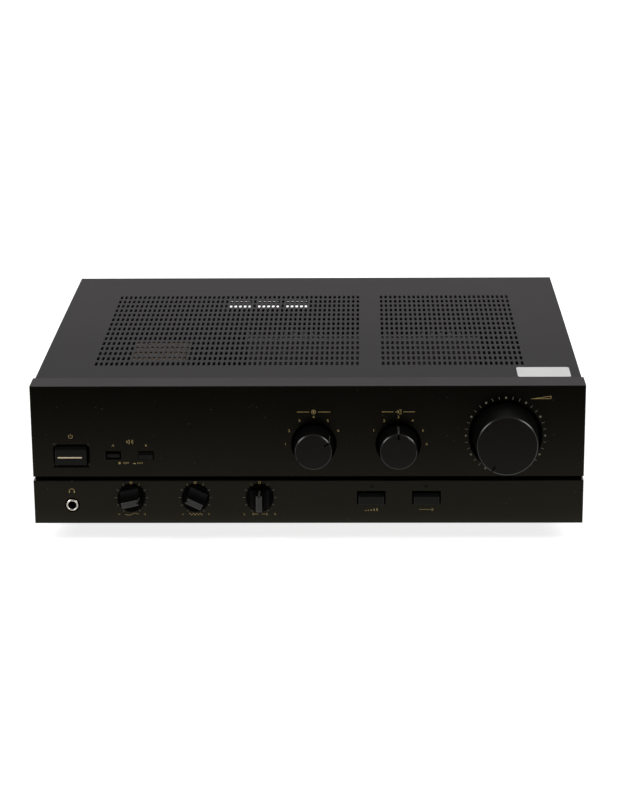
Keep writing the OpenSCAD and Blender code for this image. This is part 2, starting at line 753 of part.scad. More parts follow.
module top_cover() {
  color([0.28, 0.27, 0.275]) difference() {
    cover_shell();
    for (j = [0:slot_rows - 1])
      translate([0, first_row_y + j * slot_pitch_y, top_z - 3 * over]) slot_row();
    for (y = side_screw_y) translate([0, y, foot_h + side_screw_z]) rotate([0, 90, 0])
      rod(screw_r + screw_gap, -case_w, case_w);
    for (x = rear_screw_cx) on_rear(x, lip_screw_z) rod(screw_r + screw_gap, -over, cover_t + over);
  }
}

module chassis_base() {
  l = rear_inner - frame_back;
  color([0.62, 0.63, 0.64]) difference() {
    union() {
      translate([-sheet_x, frame_back, foot_h]) cube([2 * sheet_x, l, sheet_t]);
      for (x = [-sheet_x, sheet_x - sheet_t])
        translate([x, frame_back, foot_h]) cube([sheet_t, l, side_flange_h]);
      for (y = [frame_back, rear_inner - sheet_t])
        translate([-sheet_x, y, foot_h]) cube([2 * sheet_x, sheet_t, sheet_t + end_flange_h]);
    }
    for (x = [-foot_cx, foot_cx], y = foot_y) translate([x, y, 0]) rod(screw_r + screw_gap, 0, floor_z + over);
    for (y = side_screw_y) translate([0, y, foot_h + side_screw_z]) rotate([0, 90, 0])
      rod(screw_r + screw_gap, -case_w, case_w);
    for (x = rear_screw_cx) on_rear(x, flange_screw_z) rod(screw_r + screw_gap, -3 * over - sheet_t, over);
    for (i = [0:base_vents - 1], s = [-1, 1]) {
      x = sink_cx + (i - (base_vents - 1) / 2) * base_vent_pitch;
      translate([x, sink_y + s * base_vent_y, foot_h - over])
        linear_extrude(height = sheet_t + 2 * over) slot(base_vent_w, base_vent_l);
    }
  }
}

module front_frame() {
  color([0.55, 0.56, 0.57]) difference() {
    translate([-sheet_x, frame_y, foot_h]) cube([2 * sheet_x, sheet_t, sheet_top - foot_h]);
    on_front(volume_cx, volume_cz) frame_hole(bush_r);
    for (x = selector_cx) on_front(x, selector_cz) frame_hole(bush_r);
    for (x = tone_cx) on_front(x, tone_cz) frame_hole(bush_r);
    on_front(phones_cx, phones_cz) frame_hole(phones_sleeve_r);
    on_front(power_cx, power_cz) stem_hole();
    for (x = speaker_cx) on_front(x, speaker_cz) stem_hole();
    for (x = sound_cx) on_front(x, sound_cz) stem_hole();
  }
}

module frame_hole(r) {
  rod(r + screw_gap, -frame_back - over, -frame_y + over);
}

module stem_hole() {
  bar(stem_w + 4 * stem_clear, stem_w + 4 * stem_clear, -frame_back - over, -frame_y + over);
}

module rear_panel() {
  color([0.1, 0.1, 0.1]) difference() {
    translate([-sheet_x, rear_inner, foot_h]) cube([2 * sheet_x, sheet_t, sheet_top - foot_h]);
    for (i = [-1:1], k = [0, 1]) on_rear(rear_vent_x + i * rear_vent_pitch, foot_h + rear_vent_z[k])
      bar(rear_vent_w, rear_vent_h[k], -sheet_t - over, over);
    for (x = socket_block_cx) on_rear(x, foot_h + socket_block_z) at_sockets()
      rod(socket_r + socket_hole_gap, -sheet_t - over, over);
    for (z = terminal_z) on_rear(terminal_x, foot_h + z)
      bar(terminal_inner_w + 2 * sheet_gap, terminal_inner_h + 2 * sheet_gap, -sheet_t - over, over);
    on_rear(ground_cx, foot_h + ground_z) rod(ground_stud_r + screw_gap, -sheet_t - over, over);
    on_rear(gland_cx, foot_h + gland_z) rod(gland_bore_r + gland_wall + screw_gap, -sheet_t - over, over);
    for (x = rear_screw_cx, z = [lip_screw_z, flange_screw_z])
      on_rear(x, z) rod(screw_r + screw_gap, -sheet_t - over, over);
  }
}

module feet() {
  color([0.05, 0.05, 0.05]) for (x = [-foot_cx, foot_cx], y = foot_y) translate([x, y, 0]) difference() {
    cylinder(r1 = foot_floor_r, r2 = foot_r, h = foot_h);
    rod(foot_recess_r, -over, foot_h - foot_roof);
    rod(screw_r + screw_gap, 0, foot_h + over);
  }
}

// Screw with a crossed head that sits on z = 0 and a shank that runs down
module screw(head_r, l) {
  difference() {
    rod(head_r, 0, screw_head_h);
    bar(cross_l, cross_w, screw_head_h - cross_d, screw_head_h + over);
    bar(cross_w, cross_l, screw_head_h - cross_d, screw_head_h + over);
  }
  rod(screw_r, -l, (screw_head_h - cross_d) / 2);
}

module foot_screws() {
  color([0.7, 0.7, 0.72]) for (x = [-foot_cx, foot_cx], y = foot_y)
    translate([x, y, foot_h - foot_roof]) rotate([180, 0, 0])
      screw(foot_screw_head_r, foot_roof + sheet_t + over);
}

module case_screws() {
  color([0.12, 0.12, 0.12]) {
    for (y = side_screw_y, s = [-1, 1])
      translate([s * case_w / 2, y, foot_h + side_screw_z]) rotate([0, s * 90, 0]) screw(screw_head_r, screw_l);
    for (x = rear_screw_cx) {
      translate([0, cover_t, 0]) on_rear(x, lip_screw_z) screw(screw_head_r, screw_l);
      on_rear(x, flange_screw_z) screw(flange_head_r, screw_l);
    }
  }
}

module control_nuts() {
  color([0.75, 0.75, 0.72]) {
    on_front(volume_cx, volume_cz) hex_nut();
    for (x = selector_cx) on_front(x, selector_cz) hex_nut();
    for (x = tone_cx) on_front(x, tone_cz) hex_nut();
  }
}

module hex_nut() {
  difference() {
    translate([0, 0, -frame_y]) cylinder(r = nut_r, h = nut_t, $fn = 6);
    rod(bush_r + shaft_clear, -frame_y - over, nut_t - frame_y + over);
  }
}

// Bush of a control with its body behind the frame, bored for the shaft
module control_body() {
  difference() {
    union() {
      children();
      rod(bush_r, -frame_back - over, bush_l - frame_y);
    }
    rod(shaft_r + shaft_clear, -frame_back - shaft_in - over, bush_l);
  }
}

module volume_pot() {
  color([0.45, 0.45, 0.47]) on_front(volume_cx, volume_cz) control_body()
    bar(volume_pot_w, volume_pot_w, -frame_back - volume_pot_d, -frame_back);
}

module selector_switches() {
  color([0.5, 0.42, 0.3]) for (x = selector_cx) on_front(x, selector_cz) control_body()
    rod(selector_switch_r, -frame_back - selector_switch_d, -frame_back);
}

module tone_pots() {
  color([0.45, 0.45, 0.47]) for (x = tone_cx) on_front(x, tone_cz) control_body()
    bar(tone_pot_w, tone_pot_w, -frame_back - tone_pot_d, -frame_back);
}

module tone_board() {
  low = tone_cx[0] - tone_board_over;
  w = tone_cx[2] - tone_cx[0] + 2 * tone_board_over;
  color([0.55, 0.4, 0.22]) translate([low, frame_back + tone_pot_d, tone_cz - tone_board_h / 2])
    cube([w, board_t, tone_board_h]);
}

// Switch body behind the frame, with a square guide for its button's stem
module switch_body(size) {
  guide = stem_w + 2 * stem_clear;
  difference() {
    bar(size[0], size[1], -frame_back - size[2], -frame_back);
    bar(guide, guide, -frame_back - stem_in - button_travel - over, over - frame_back);
  }
}

module power_switch() {
  color([0.2, 0.2, 0.2]) on_front(power_cx, power_cz) switch_body(power_switch_size);
}

module push_switches() {
  color([0.75, 0.73, 0.68]) {
    for (x = speaker_cx) on_front(x, speaker_cz) switch_body(push_switch_size);
    for (x = sound_cx) on_front(x, sound_cz) switch_body(push_switch_size);
  }
}

// Button cap and its stem, with the stem's length set so that every stem ends alike when out
module button(size, out, stands) {
  chamfer_block(size[0], size[1], out - cap_d, out, cap_chamfer, cap_slope);
  bar(stem_w, stem_w, -frame_back - stem_in + out - stands, out - cap_d + over / 2);
}

module power_button() {
  color([0.08, 0.08, 0.08]) on_front(power_cx, power_cz) button(power_size, power_out, power_out);
}

module speaker_button(k) {
  color([0.12, 0.12, 0.12]) on_front(speaker_cx[k], speaker_cz)
    button(speaker_size, speaker_out[k], speaker_out[1]);
}

module sound_button(k) {
  color([0.12, 0.12, 0.12]) on_front(sound_cx[k], sound_cz) button(sound_size, sound_out, sound_out);
}

module phones_jack() {
  color([0.07, 0.07, 0.07]) on_front(phones_cx, phones_cz) difference() {
    bar(phones_body_w, phones_body_w, -frame_back - phones_body_d, -frame_back);
    rod(phones_bore_r, -frame_back - phones_body_d + 2 * over, over - frame_back);
  }
}

module phones_sleeve() {
  r = phones_sleeve_r;
  color([0.85, 0.85, 0.83]) on_front(phones_cx, phones_cz) rotate_extrude()
    polygon([
      [phones_bore_r, -frame_back], [r, -frame_back], [r, phones_out - phones_chamfer],
      [r - phones_chamfer, phones_out], [phones_bore_r, phones_out]
    ]);
}

module lamp_guides() {
  color([0.25, 0.1, 0.08]) for (x = lamp_cx) on_front(x, lamp_cz) rod(lamp_r, -frame_y, 0);
}

// Solid knob with a flat face, hollow behind, round a hub that takes the shaft
module round_knob(base_r, face_r, back, out) {
  difference() {
    rotate_extrude()
      polygon([
        [0, back], [base_r, back], [face_r, out - knob_chamfer], [face_r - knob_chamfer, out], [0, out]
      ]);
    rotate_extrude() polygon([
      [hub_r, back - over], [base_r - knob_wall, back - over],
      [face_r - knob_wall, out - knob_roof], [hub_r, out - knob_roof]
    ]);
    flat_end(shaft_r + shaft_clear, shaft_flat + shaft_clear, back - over, back + shaft_grip + shaft_clear);
    pointer_groove(base_r, face_r, back, out);
  }
}

// Groove along a knob's side that turns over the edge of its face, pointing up
module pointer_groove(base_r, face_r, back, out) {
  difference() {
    translate([-pointer_w / 2, 0, back - over]) cube([pointer_w, base_r + over, out - back + 2 * over]);
    translate([0, 0, back - 2 * over]) cylinder(
      r1 = base_r - pointer_d, r2 = face_r - pointer_d, h = out - back + 4 * over
    );
  }
  translate([-pointer_w / 2, face_r - pointer_l, out - pointer_d])
    cube([pointer_w, pointer_l, pointer_d + over]);
}

// Skirted knob whose grip is a blade with hollow flanks
module blade_knob(back) {
  low = back + tone_skirt_t;
  difference() {
    union() {
      rod(tone_skirt_r, back, low);
      intersection() {
        blade_side(low);
        blade_end(low);
      }
    }
    flat_end(shaft_r + shaft_clear, shaft_flat + shaft_clear, back - over, back + tone_grip + shaft_clear);
    blade_groove(low);
  }
}

// Blade seen along its length: a block with a hollow taken out of each flank
module blade_side(low) {
  axis_x = tone_blade / 2 + tone_flank_r;
  drop = tone_root_w - tone_blade / 2 + tone_edge;
  translate([0, tone_root_r, 0]) rotate([90, 0, 0]) linear_extrude(height = 2 * tone_root_r) difference() {
    polygon([
      [-tone_root_w, low - over], [tone_root_w, low - over], [tone_root_w, tone_out - drop],
      [tone_blade / 2 - tone_edge, tone_out], [tone_edge - tone_blade / 2, tone_out],
      [-tone_root_w, tone_out - drop]
    ]);
    for (s = [-1, 1]) translate([s * axis_x, tone_out + over]) circle(r = tone_flank_r);
  }
}

// Blade seen from the side: a block that narrows from the skirt to its face
module blade_end(low) {
  translate([-tone_root_w, 0, 0]) rotate([90, 0, 90]) linear_extrude(height = 2 * tone_root_w) polygon([
    [-tone_root_r, low - over], [tone_root_r, low - over], [tone_root_r, low],
    [tone_tip_r, tone_out - tone_edge],
    [tone_tip_r - tone_edge, tone_out], [tone_edge - tone_tip_r, tone_out], [-tone_tip_r, tone_out - tone_edge],
    [-tone_root_r, low]
  ]);
}

// Pointer groove on the upper end of a blade
module blade_groove(low) {
  translate([-pointer_w / 2, 0, 0]) rotate([90, 0, 90]) linear_extrude(height = pointer_w) polygon([
    [tone_root_r - pointer_d, low], [tone_root_r + over, low],
    [tone_tip_r + over, tone_out + over], [tone_tip_r - pointer_d, tone_out + over]
  ]);
}

// Shaft from inside its control to inside its knob
module shaft(back, grip) {
  difference() {
    rod(shaft_r, -frame_back - shaft_in, back + grip);
    translate([-2 * shaft_r, -shaft_flat - 2 * shaft_r, back]) cube([4 * shaft_r, 2 * shaft_r, grip + over]);
  }
}

module volume_knob() {
  color([0.1, 0.1, 0.095]) on_front(volume_cx, volume_cz) rotate([0, 0, -volume_rest])
    round_knob(volume_base_r, volume_face_r, volume_back, volume_out);
}

module volume_shaft() {
  color([0.7, 0.7, 0.72]) on_front(volume_cx, volume_cz) rotate([0, 0, -volume_rest])
    shaft(volume_back, shaft_grip);
}

module selector_knob(k) {
  color([0.1, 0.1, 0.095]) on_front(selector_cx[k], selector_cz) rotate([0, 0, -selector_rest[k]])
    round_knob(selector_base_r, selector_face_r, selector_back, selector_out);
}

module selector_shaft(k) {
  color([0.7, 0.7, 0.72]) on_front(selector_cx[k], selector_cz) rotate([0, 0, -selector_rest[k]])
    shaft(selector_back, shaft_grip);
}

module tone_knob(k) {
  color([0.1, 0.1, 0.095]) on_front(tone_cx[k], tone_cz) rotate([0, 0, -tone_rest[k]]) blade_knob(tone_back);
}

module tone_shaft(k) {
  color([0.7, 0.7, 0.72]) on_front(tone_cx[k], tone_cz) rotate([0, 0, -tone_rest[k]])
    shaft(tone_back, tone_grip);
}

// Puts a shape drawn with its length along X at the transformer's foot, turned to run front to back
module at_transformer() {
  translate([transformer_cx, transformer_y, floor_z]) rotate([0, 0, 90]) children();
}

module transformer_core() {
  color([0.35, 0.3, 0.26]) at_transformer() difference() {
    bar(core_l, core_stack, 0, core_h);
    for (z = [core_leg, core_leg + core_window + core_middle])
      bar(core_l - 2 * core_leg, core_stack + over, z, z + core_window);
  }
}

// Wrapped winding round the core's middle leg, with round corners
module transformer_coil() {
  l = core_l - 2 * core_leg - 2 * coil_gap;
  build = core_window - 2 * coil_gap;
  leg = core_middle + 2 * coil_gap;
  h = leg + 2 * build;
  w = core_stack + 2 * coil_bulge;
  color([0.62, 0.47, 0.25]) at_transformer() translate([-l / 2, 0, core_h / 2]) rotate([90, 0, 90])
    linear_extrude(height = l) difference() {
      union() {
        translate([build - w / 2, -h / 2]) square([w - 2 * build, h]);
        translate([-w / 2, build - h / 2]) square([w, h - 2 * build]);
        for (a = [-1, 1], b = [-1, 1]) translate([a * (w / 2 - build), b * (h / 2 - build)]) circle(r = build);
      }
      translate([-core_stack / 2 - coil_gap, -leg / 2]) square([core_stack + 2 * coil_gap, leg]);
    }
}

// Strap over the core, with a foot at each end
module transformer_strap() {
  w = core_l + 2 * strap_t;
  d = core_stack - 4 * over;
  color([0.66, 0.66, 0.64]) at_transformer() difference() {
    union() {
      bar(w, d, core_h, core_h + strap_t);
      for (s = [-1, 1]) {
        translate([s * (core_l + strap_t) / 2, 0, 0]) bar(strap_t, d, 0, core_h + strap_t);
        translate([s * (core_l + strap_t + strap_foot) / 2, 0, 0]) bar(strap_foot + strap_t, d, 0, strap_t);
      }
    }
    for (s = [-1, 1]) translate([s * (w + strap_foot) / 2, 0, 0])
      rod(screw_r + screw_gap, -over, strap_t + over);
  }
}

// Can with a rolled groove near its foot
module smoothing_capacitors() {
  r = capacitor_r;
  color([0.08, 0.1, 0.2]) for (x = capacitor_cx) translate([x, capacitor_y, board_top]) rotate_extrude()
    polygon([
      [0, 0], [r, 0], [r, bead_z], [r - bead_d, bead_z + bead_w / 2], [r, bead_z + bead_w],
      [r, capacitor_h - capacitor_edge], [r - capacitor_edge, capacitor_h], [0, capacitor_h]
    ]);
}

module main_board() {
  color([0.55, 0.4, 0.22]) translate([board_left, board_y, board_z]) cube([board_w, board_d, board_t]);
}

module board_standoffs() {
  inset = 2 * standoff_r;
  color([0.7, 0.7, 0.7])
    for (x = [-1, 0, 1], y = [board_y + inset, board_y + board_d - inset])
      translate([board_cx + x * (board_w / 2 - inset), y, 0]) rod(standoff_r, floor_z, board_z);
}

// Extruded comb that stands on the main board
module heat_sink() {
  pitch = (sink_l - fin_t) / (fins - 1);
  color([0.25, 0.25, 0.26]) translate([sink_cx - sink_l / 2, sink_y, board_top])
    linear_extrude(height = sink_h) {
      square([sink_l, sink_t]);
      for (i = [0:fins - 1]) translate([i * pitch, sink_t - over]) square([fin_t, fin_d + over]);
    }
}

module power_transistors() {
  s = transistor_size;
  color([0.06, 0.06, 0.06]) for (i = [0:3])
    translate([sink_cx + (i - 1.5) * transistor_pitch, sink_y - s[1], board_top + transistor_z]) difference() {
      translate([-s[0] / 2, 0, 0]) cube(s);
      translate([0, 0, s[2] - s[0] / 4]) rotate([-90, 0, 0]) rod(screw_r, -over, s[1] + over);
    }
}

module speaker_relay() {
  s = relay_size;
  color([0.15, 0.2, 0.35]) translate([relay_cx, relay_cy, board_top])
    chamfer_block(s[0], s[1], 0, s[2], cap_chamfer, cap_chamfer);
}

// Copies a shape to the four sockets of a block
module at_sockets() {
  for (x = [-1, 1], z = [-1, 1])
    translate([x * socket_pitch_x / 2, z * socket_pitch_z / 2, 0]) children();
}

// Puts a shape at every socket
module all_sockets() {
  for (x = socket_block_cx) on_rear(x, foot_h + socket_block_z) at_sockets() children();
}

module socket_blocks() {
  color([0.1, 0.1, 0.1]) for (x = socket_block_cx) on_rear(x, foot_h + socket_block_z) difference() {
    bar(
      socket_pitch_x + 2 * socket_margin, socket_pitch_z + 2 * socket_margin,
      -sheet_t - socket_block_d, -sheet_t
    );
    at_sockets() rod(socket_r + shaft_clear, -sheet_t - socket_in, 0);
  }
}

module socket_shells() {
  color([0.85, 0.8, 0.65]) all_sockets() difference() {
    rod(socket_r, -sheet_t - socket_in, socket_out);
    rod(socket_r - socket_wall, -sheet_t - socket_in - over, socket_out + over);
  }
}

module socket_inserts() {
  color([0.9, 0.9, 0.88]) all_sockets() difference() {
    rod(socket_r - socket_wall - shaft_clear, -sheet_t - socket_in, socket_out - insert_set);
    rod(socket_pin_r, -sheet_t, socket_out);
  }
}

// Puts a shape at the middle of terminal i
module at_terminal(i) {
  translate([(i - (terminals - 1) / 2) * terminal_pitch, 0, 0]) children();
}

module terminal_housings() {
  color([0.1, 0.1, 0.1]) for (z = terminal_z) on_rear(terminal_x, foot_h + z) {
    difference() {
      union() {
        chamfer_block(terminal_w, terminal_h, 0, terminal_out, cap_chamfer, cap_chamfer);
        bar(terminal_inner_w, terminal_inner_h, -terminal_in, over);
      }
      for (i = [0:terminals - 1]) at_terminal(i) {
        translate([-pocket_w / 2, pocket_low, pocket_back])
          cube([pocket_w, pocket_high - pocket_low, terminal_out - pocket_back + over]);
        translate([-wire_hole / 2, pocket_high + terminal_rim, 0])
          cube([wire_hole, wire_hole, terminal_out + over]);
      }
    }
    for (i = [0:terminals - 1]) at_terminal(i) translate([0, -pivot_drop, pivot_z]) rotate([0, 90, 0])
      rod(pivot_r, -pocket_w / 2 - over / 2, pocket_w / 2 + over / 2);
  }
}

// Spring lever on its pivot pin, raised by its rest angle
module lever(block, i) {
  w = pocket_w - 2 * lever_gap;
  root = lever_hub_r - lever_gap;
  color(i % 2 == 0 ? [0.7, 0.08, 0.07] : [0.09, 0.09, 0.09])
    on_rear(terminal_x, foot_h + terminal_z[block]) at_terminal(i)
      translate([0, -pivot_drop, pivot_z]) rotate([-lever_rest, 0, 0])
        translate([-w / 2, 0, 0]) rotate([90, 0, 90]) linear_extrude(height = w) difference() {
          union() {
            circle(r = lever_hub_r);
            polygon([
              [root, 0], [3 * lever_t / 4, lever_l], [-lever_t / 4, lever_l],
              [-root, lever_hub_r], [-root, 0]
            ]);
          }
          circle(r = pivot_r + pivot_clear);
        }
}

module ground_post() {
  color([0.8, 0.8, 0.78]) on_rear(ground_cx, foot_h + ground_z) {
    rod(ground_stud_r, -sheet_t - ground_in, ground_nut_t / 2);
    rotate_extrude() polygon([
      [0, 0], [ground_nut_r, 0], [ground_nut_r, ground_nut_t - ground_chamfer],
      [ground_nut_r - ground_chamfer, ground_nut_t], [0, ground_nut_t]
    ]);
  }
}

// Bush with a rim on each side of the rear panel
module cord_gland() {
  r = gland_bore_r + gland_wall;
  color([0.06, 0.06, 0.06]) on_rear(gland_cx, foot_h + gland_z) difference() {
    union() {
      rod(r, -sheet_t - gland_rim_t, gland_rim_t);
      rod(r + gland_rim, 0, gland_rim_t);
      rod(r + gland_rim, -sheet_t - gland_rim_t, -sheet_t);
    }
    rod(gland_bore_r, -sheet_t - gland_rim_t - over, gland_rim_t + over);
  }
}

place() chassis_base();
place() rear_panel();
place() front_frame();
place() top_cover();
place() upper_fascia();
place() lower_fascia();
place() feet();
place() foot_screws();
place() case_screws();
place() control_nuts();
place() volume_pot();
place() selector_switches();
place() tone_pots();
place() tone_board();
place() power_switch();
place() push_switches();
place() phones_jack();
place() phones_sleeve();
place() lamp_guides();
place() transformer_core();
place() transformer_coil();
place() transformer_strap();
place() smoothing_capacitors();
place() main_board();
place() board_standoffs();
place() heat_sink();
place() power_transistors();
place() speaker_relay();
place() socket_blocks();
place() socket_shells();
place() socket_inserts();
place() terminal_housings();
place() ground_post();
place() cord_gland();
place() volume_knob();
place() selector_knob(0);  // rec_knob
place() selector_knob(1);  // input_knob
place() tone_knob(0);  // bass_knob
place() tone_knob(1);  // treble_knob
place() tone_knob(2);  // balance_knob
place() volume_shaft();
place() selector_shaft(0);  // rec_shaft
place() selector_shaft(1);  // input_shaft
place() tone_shaft(0);  // bass_shaft
place() tone_shaft(1);  // treble_shaft
place() tone_shaft(2);  // balance_shaft
place() power_button();
place() speaker_button(0);  // speaker_a_button
place() speaker_button(1);  // speaker_b_button
place() sound_button(0);  // loudness_button
place() sound_button(1);  // direct_button
place() lever(0, 0);  // lever_a1
place() lever(0, 1);  // lever_a2
place() lever(0, 2);  // lever_a3
place() lever(0, 3);  // lever_a4
place() lever(1, 0);  // lever_b1
place() lever(1, 1);  // lever_b2
place() lever(1, 2);  // lever_b3
place() lever(1, 3);  // lever_b4
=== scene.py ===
"""Looks of a full-width stereo amplifier: finishes, printed marks, small fittings, floor, light and camera.

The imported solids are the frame. Lengths in the tables are millimetres and become metres when a piece is
placed. Lengths in the finishes, the floor and the lamps are metres.
"""
import json
import math

import bpy
import numpy as np
from mathutils import Matrix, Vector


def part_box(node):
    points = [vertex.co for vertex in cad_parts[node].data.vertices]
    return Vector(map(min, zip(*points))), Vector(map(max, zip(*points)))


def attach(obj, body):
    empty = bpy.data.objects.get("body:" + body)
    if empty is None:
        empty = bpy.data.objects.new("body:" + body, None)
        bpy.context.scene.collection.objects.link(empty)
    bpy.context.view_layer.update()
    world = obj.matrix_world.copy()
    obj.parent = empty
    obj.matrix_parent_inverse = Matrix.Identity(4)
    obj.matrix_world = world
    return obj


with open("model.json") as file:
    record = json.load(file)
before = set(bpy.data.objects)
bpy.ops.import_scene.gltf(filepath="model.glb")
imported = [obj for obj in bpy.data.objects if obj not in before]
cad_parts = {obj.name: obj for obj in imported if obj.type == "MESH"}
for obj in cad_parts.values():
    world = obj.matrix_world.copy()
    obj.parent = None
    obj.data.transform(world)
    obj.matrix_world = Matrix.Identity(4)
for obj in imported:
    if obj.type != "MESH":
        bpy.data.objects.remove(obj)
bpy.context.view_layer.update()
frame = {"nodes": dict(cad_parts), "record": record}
nodes = frame["nodes"]

MM = 0.001
X, Y, Z = 0, 1, 2
LOW, HIGH = 0, 1


def corners(node):
    """Lowest and highest corner of a solid, in millimetres."""
    low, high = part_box(node)
    return np.array(low) / MM, np.array(high) / MM


def middle(node):
    """Middle of a solid's box, in millimetres."""
    low, high = corners(node)
    return (low + high) / 2


def facing(node):
    """Middle of a solid as (x, z) seen from the front."""
    x, _, z = middle(node)
    return x, z


def behind(node):
    """Middle of a solid as (x, z) seen from behind."""
    x, z = facing(node)
    return -x, z


def knob_axis(name):
    """Axis of a turning control as (x, z) seen from the front."""
    return facing(f"{name}_shaft")


FACE_Y = corners("upper_fascia")[LOW][Y]
REAR_Y = corners("rear_panel")[HIGH][Y]


# Places where pieces are drawn: each turns local points, whose third number is the height
# above the carrying face, into metres of the object's frame.

def on_front(p):
    """x to the right and z up seen from the front, height towards the viewer."""
    return np.stack([p[..., 0], FACE_Y - p[..., 2], p[..., 1]], -1) * MM


def on_rear(p):
    """x to the right and z up seen from behind, height away from the rear panel."""
    return np.stack([-p[..., 0], REAR_Y + p[..., 2], p[..., 1]], -1) * MM


def upright(p):
    """x to the right, y to the back and z up, as the object stands."""
    return p * MM


def new_object(name, data):
    """Object in the scene, at the origin."""
    obj = bpy.data.objects.new(name, data)
    bpy.context.scene.collection.objects.link(obj)
    return obj


def vertices(mesh):
    """All points of a mesh, as rows."""
    points = np.empty(len(mesh.vertices) * 3, np.float32)
    mesh.vertices.foreach_get("co", points)
    return points.reshape(-1, 3).astype(float)


class Shape:
    """Points and faces gathered from several surfaces, laid out by one of the places above."""

    def __init__(self, place):
        self.place, self.points, self.faces, self.count = place, [], [], 0

    def add(self, points, faces):
        """Takes points and faces whose numbers count from the first of these points."""
        self.faces += [[self.count + k for k in face] for face in faces]
        self.points.append(np.asarray(points, float).reshape(-1, 3))
        self.count += len(self.points[-1])

    def grid(self, points, wrap_u=False, wrap_v=False, lids=False):
        """Four-sided faces over points[u, v], which face the side that u crossed with v points to.
        A wrapped direction joins its last line to its first, and lids close both ends of u."""
        n, m = points.shape[:2]
        index = np.arange(n * m).reshape(n, m)
        ends = [index[0].tolist(), index[-1, ::-1].tolist()] if lids else []
        index = np.concatenate([index, index[:1]], 0) if wrap_u else index
        index = np.concatenate([index, index[:, :1]], 1) if wrap_v else index
        quads = np.stack([index[:-1, :-1], index[1:, :-1], index[1:, 1:], index[:-1, 1:]], -1)
        self.add(points, quads.reshape(-1, 4).tolist() + ends)

    def pad(self, outline, low, high):
        """Plate between two heights over a counter-clockwise outline of (x, z) points."""
        count = len(outline)
        rings = [np.column_stack([outline, np.full(count, height)]) for height in (low, high)]
        first = np.arange(count)
        after = np.roll(first, -1)
        sides = np.stack([first, after, after + count, first + count], -1)
        lids = [first[::-1].tolist(), (first + count).tolist()]
        self.add(np.concatenate(rings), sides.tolist() + lids)

    def strip(self, path, width, low, high, rise=(0, 0, 1), closed=False):
        """Bar of a rectangular section carried along a path: width across it, from low to high along rise.
        At a corner the two sides meet on the bisector: n = (n1 + n2) / (1 + n1.n2)."""
        path, rise = np.asarray(path, float), np.asarray(rise, float)
        steps = np.roll(path, -1, 0) - path if closed else np.diff(path, axis=0)
        side = np.cross(rise, steps)
        side /= np.linalg.norm(side, axis=1, keepdims=True)
        before = np.roll(side, 1, 0) if closed else np.concatenate([side[:1], side])
        after = side if closed else np.concatenate([side, side[-1:]])
        across = (before + after) / (1 + (before * after).sum(1, keepdims=True)) * width / 2
        ring = [path - across + rise * low, path - across + rise * high,
                path + across + rise * high, path + across + rise * low]
        self.grid(np.stack(ring, 1), wrap_u=closed, wrap_v=True, lids=not closed)

    def turned(self, section, centre, steps):
        """Ring: a closed section of (radius, height) rows, clockwise, turned about the height axis
        through a centre."""
        angle = np.linspace(0, 2 * np.pi, steps, endpoint=False)[:, None]
        radius, height = np.asarray(section, float).T
        points = np.stack([radius * np.cos(angle), radius * np.sin(angle), height + 0 * angle], -1)
        self.grid(points + np.array([*centre, 0]), wrap_u=True, wrap_v=True)

    def piece(self, name, finish, body="case"):
        """Makes the object, gives it its finish and lets it ride on a body."""
        mesh = bpy.data.meshes.new(name)
        mesh.from_pydata(self.place(np.concatenate(self.points)).tolist(), [], self.faces)
        mesh.materials.append(finishes[finish])
        mesh.update()
        obj = new_object(name, mesh)
        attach(obj, body)
        return obj


def arc(cx, cz, r, start, end, steps):
    """Points of a circular arc, angles in degrees clockwise from the top."""
    a = np.radians(np.linspace(start, end, steps))
    return np.column_stack([cx + r * np.sin(a), cz + r * np.cos(a)])


def around(centre, r, angle):
    """One point at a radius round a centre, at an angle in degrees clockwise from the top."""
    a = math.radians(angle)
    return np.array(centre) + r * np.array([math.sin(a), math.cos(a)])


# Shader nodes

class Value:
    """A shader socket with arithmetic: each operator adds one Math node to its tree."""

    def __init__(self, net, socket):
        self.net, self.socket = net, socket

    def math(self, operation, first, second):
        """Adds a Math node on two numbers or sockets."""
        return self.net.node("ShaderNodeMath", {"operation": operation}, {0: first, 1: second})

    def __add__(self, other):
        return self.math("ADD", self, other)

    def __radd__(self, other):
        return self.math("ADD", other, self)

    def __sub__(self, other):
        return self.math("SUBTRACT", self, other)

    def __rsub__(self, other):
        return self.math("SUBTRACT", other, self)

    def __mul__(self, other):
        return self.math("MULTIPLY", self, other)

    def __rmul__(self, other):
        return self.math("MULTIPLY", other, self)

    def __gt__(self, other):
        return self.math("GREATER_THAN", self, other)

    def __lt__(self, other):
        return self.math("LESS_THAN", self, other)


class Net:
    """A tree of shader nodes."""

    def __init__(self, tree):
        self.tree = tree

    def fill(self, socket, value):
        """Links a value to a socket, or sets the socket's own number or colour."""
        if isinstance(value, Value):
            self.tree.links.new(value.socket, socket)
        elif hasattr(socket.default_value, "__len__") and len(value) < len(socket.default_value):
            socket.default_value = (*value, 1)
        else:
            socket.default_value = value

    def node(self, kind, settings=(), inputs=(), out=0):
        """Adds a node: its settings first, then its sockets, and returns one of its outputs."""
        node = self.tree.nodes.new(kind)
        for name, value in dict(settings).items():
            setattr(node, name, value)
        for key, value in dict(inputs).items():
            self.fill(node.inputs[key], value)
        return Value(self, node.outputs[out])

    def ease(self, value, start, end, low=0.0, high=1.0):
        """Smooth step from low to high while the value goes from start to end."""
        return self.node("ShaderNodeMapRange", {"interpolation_type": "SMOOTHSTEP"},
                         {"Value": value, "From Min": start, "From Max": end, "To Min": low, "To Max": high})

    def rays(self, *kinds):
        """1 for rays of any of these kinds."""
        first, *others = [self.node("ShaderNodeLightPath", out=f"Is {kind} Ray") for kind in kinds]
        return sum(others, first)


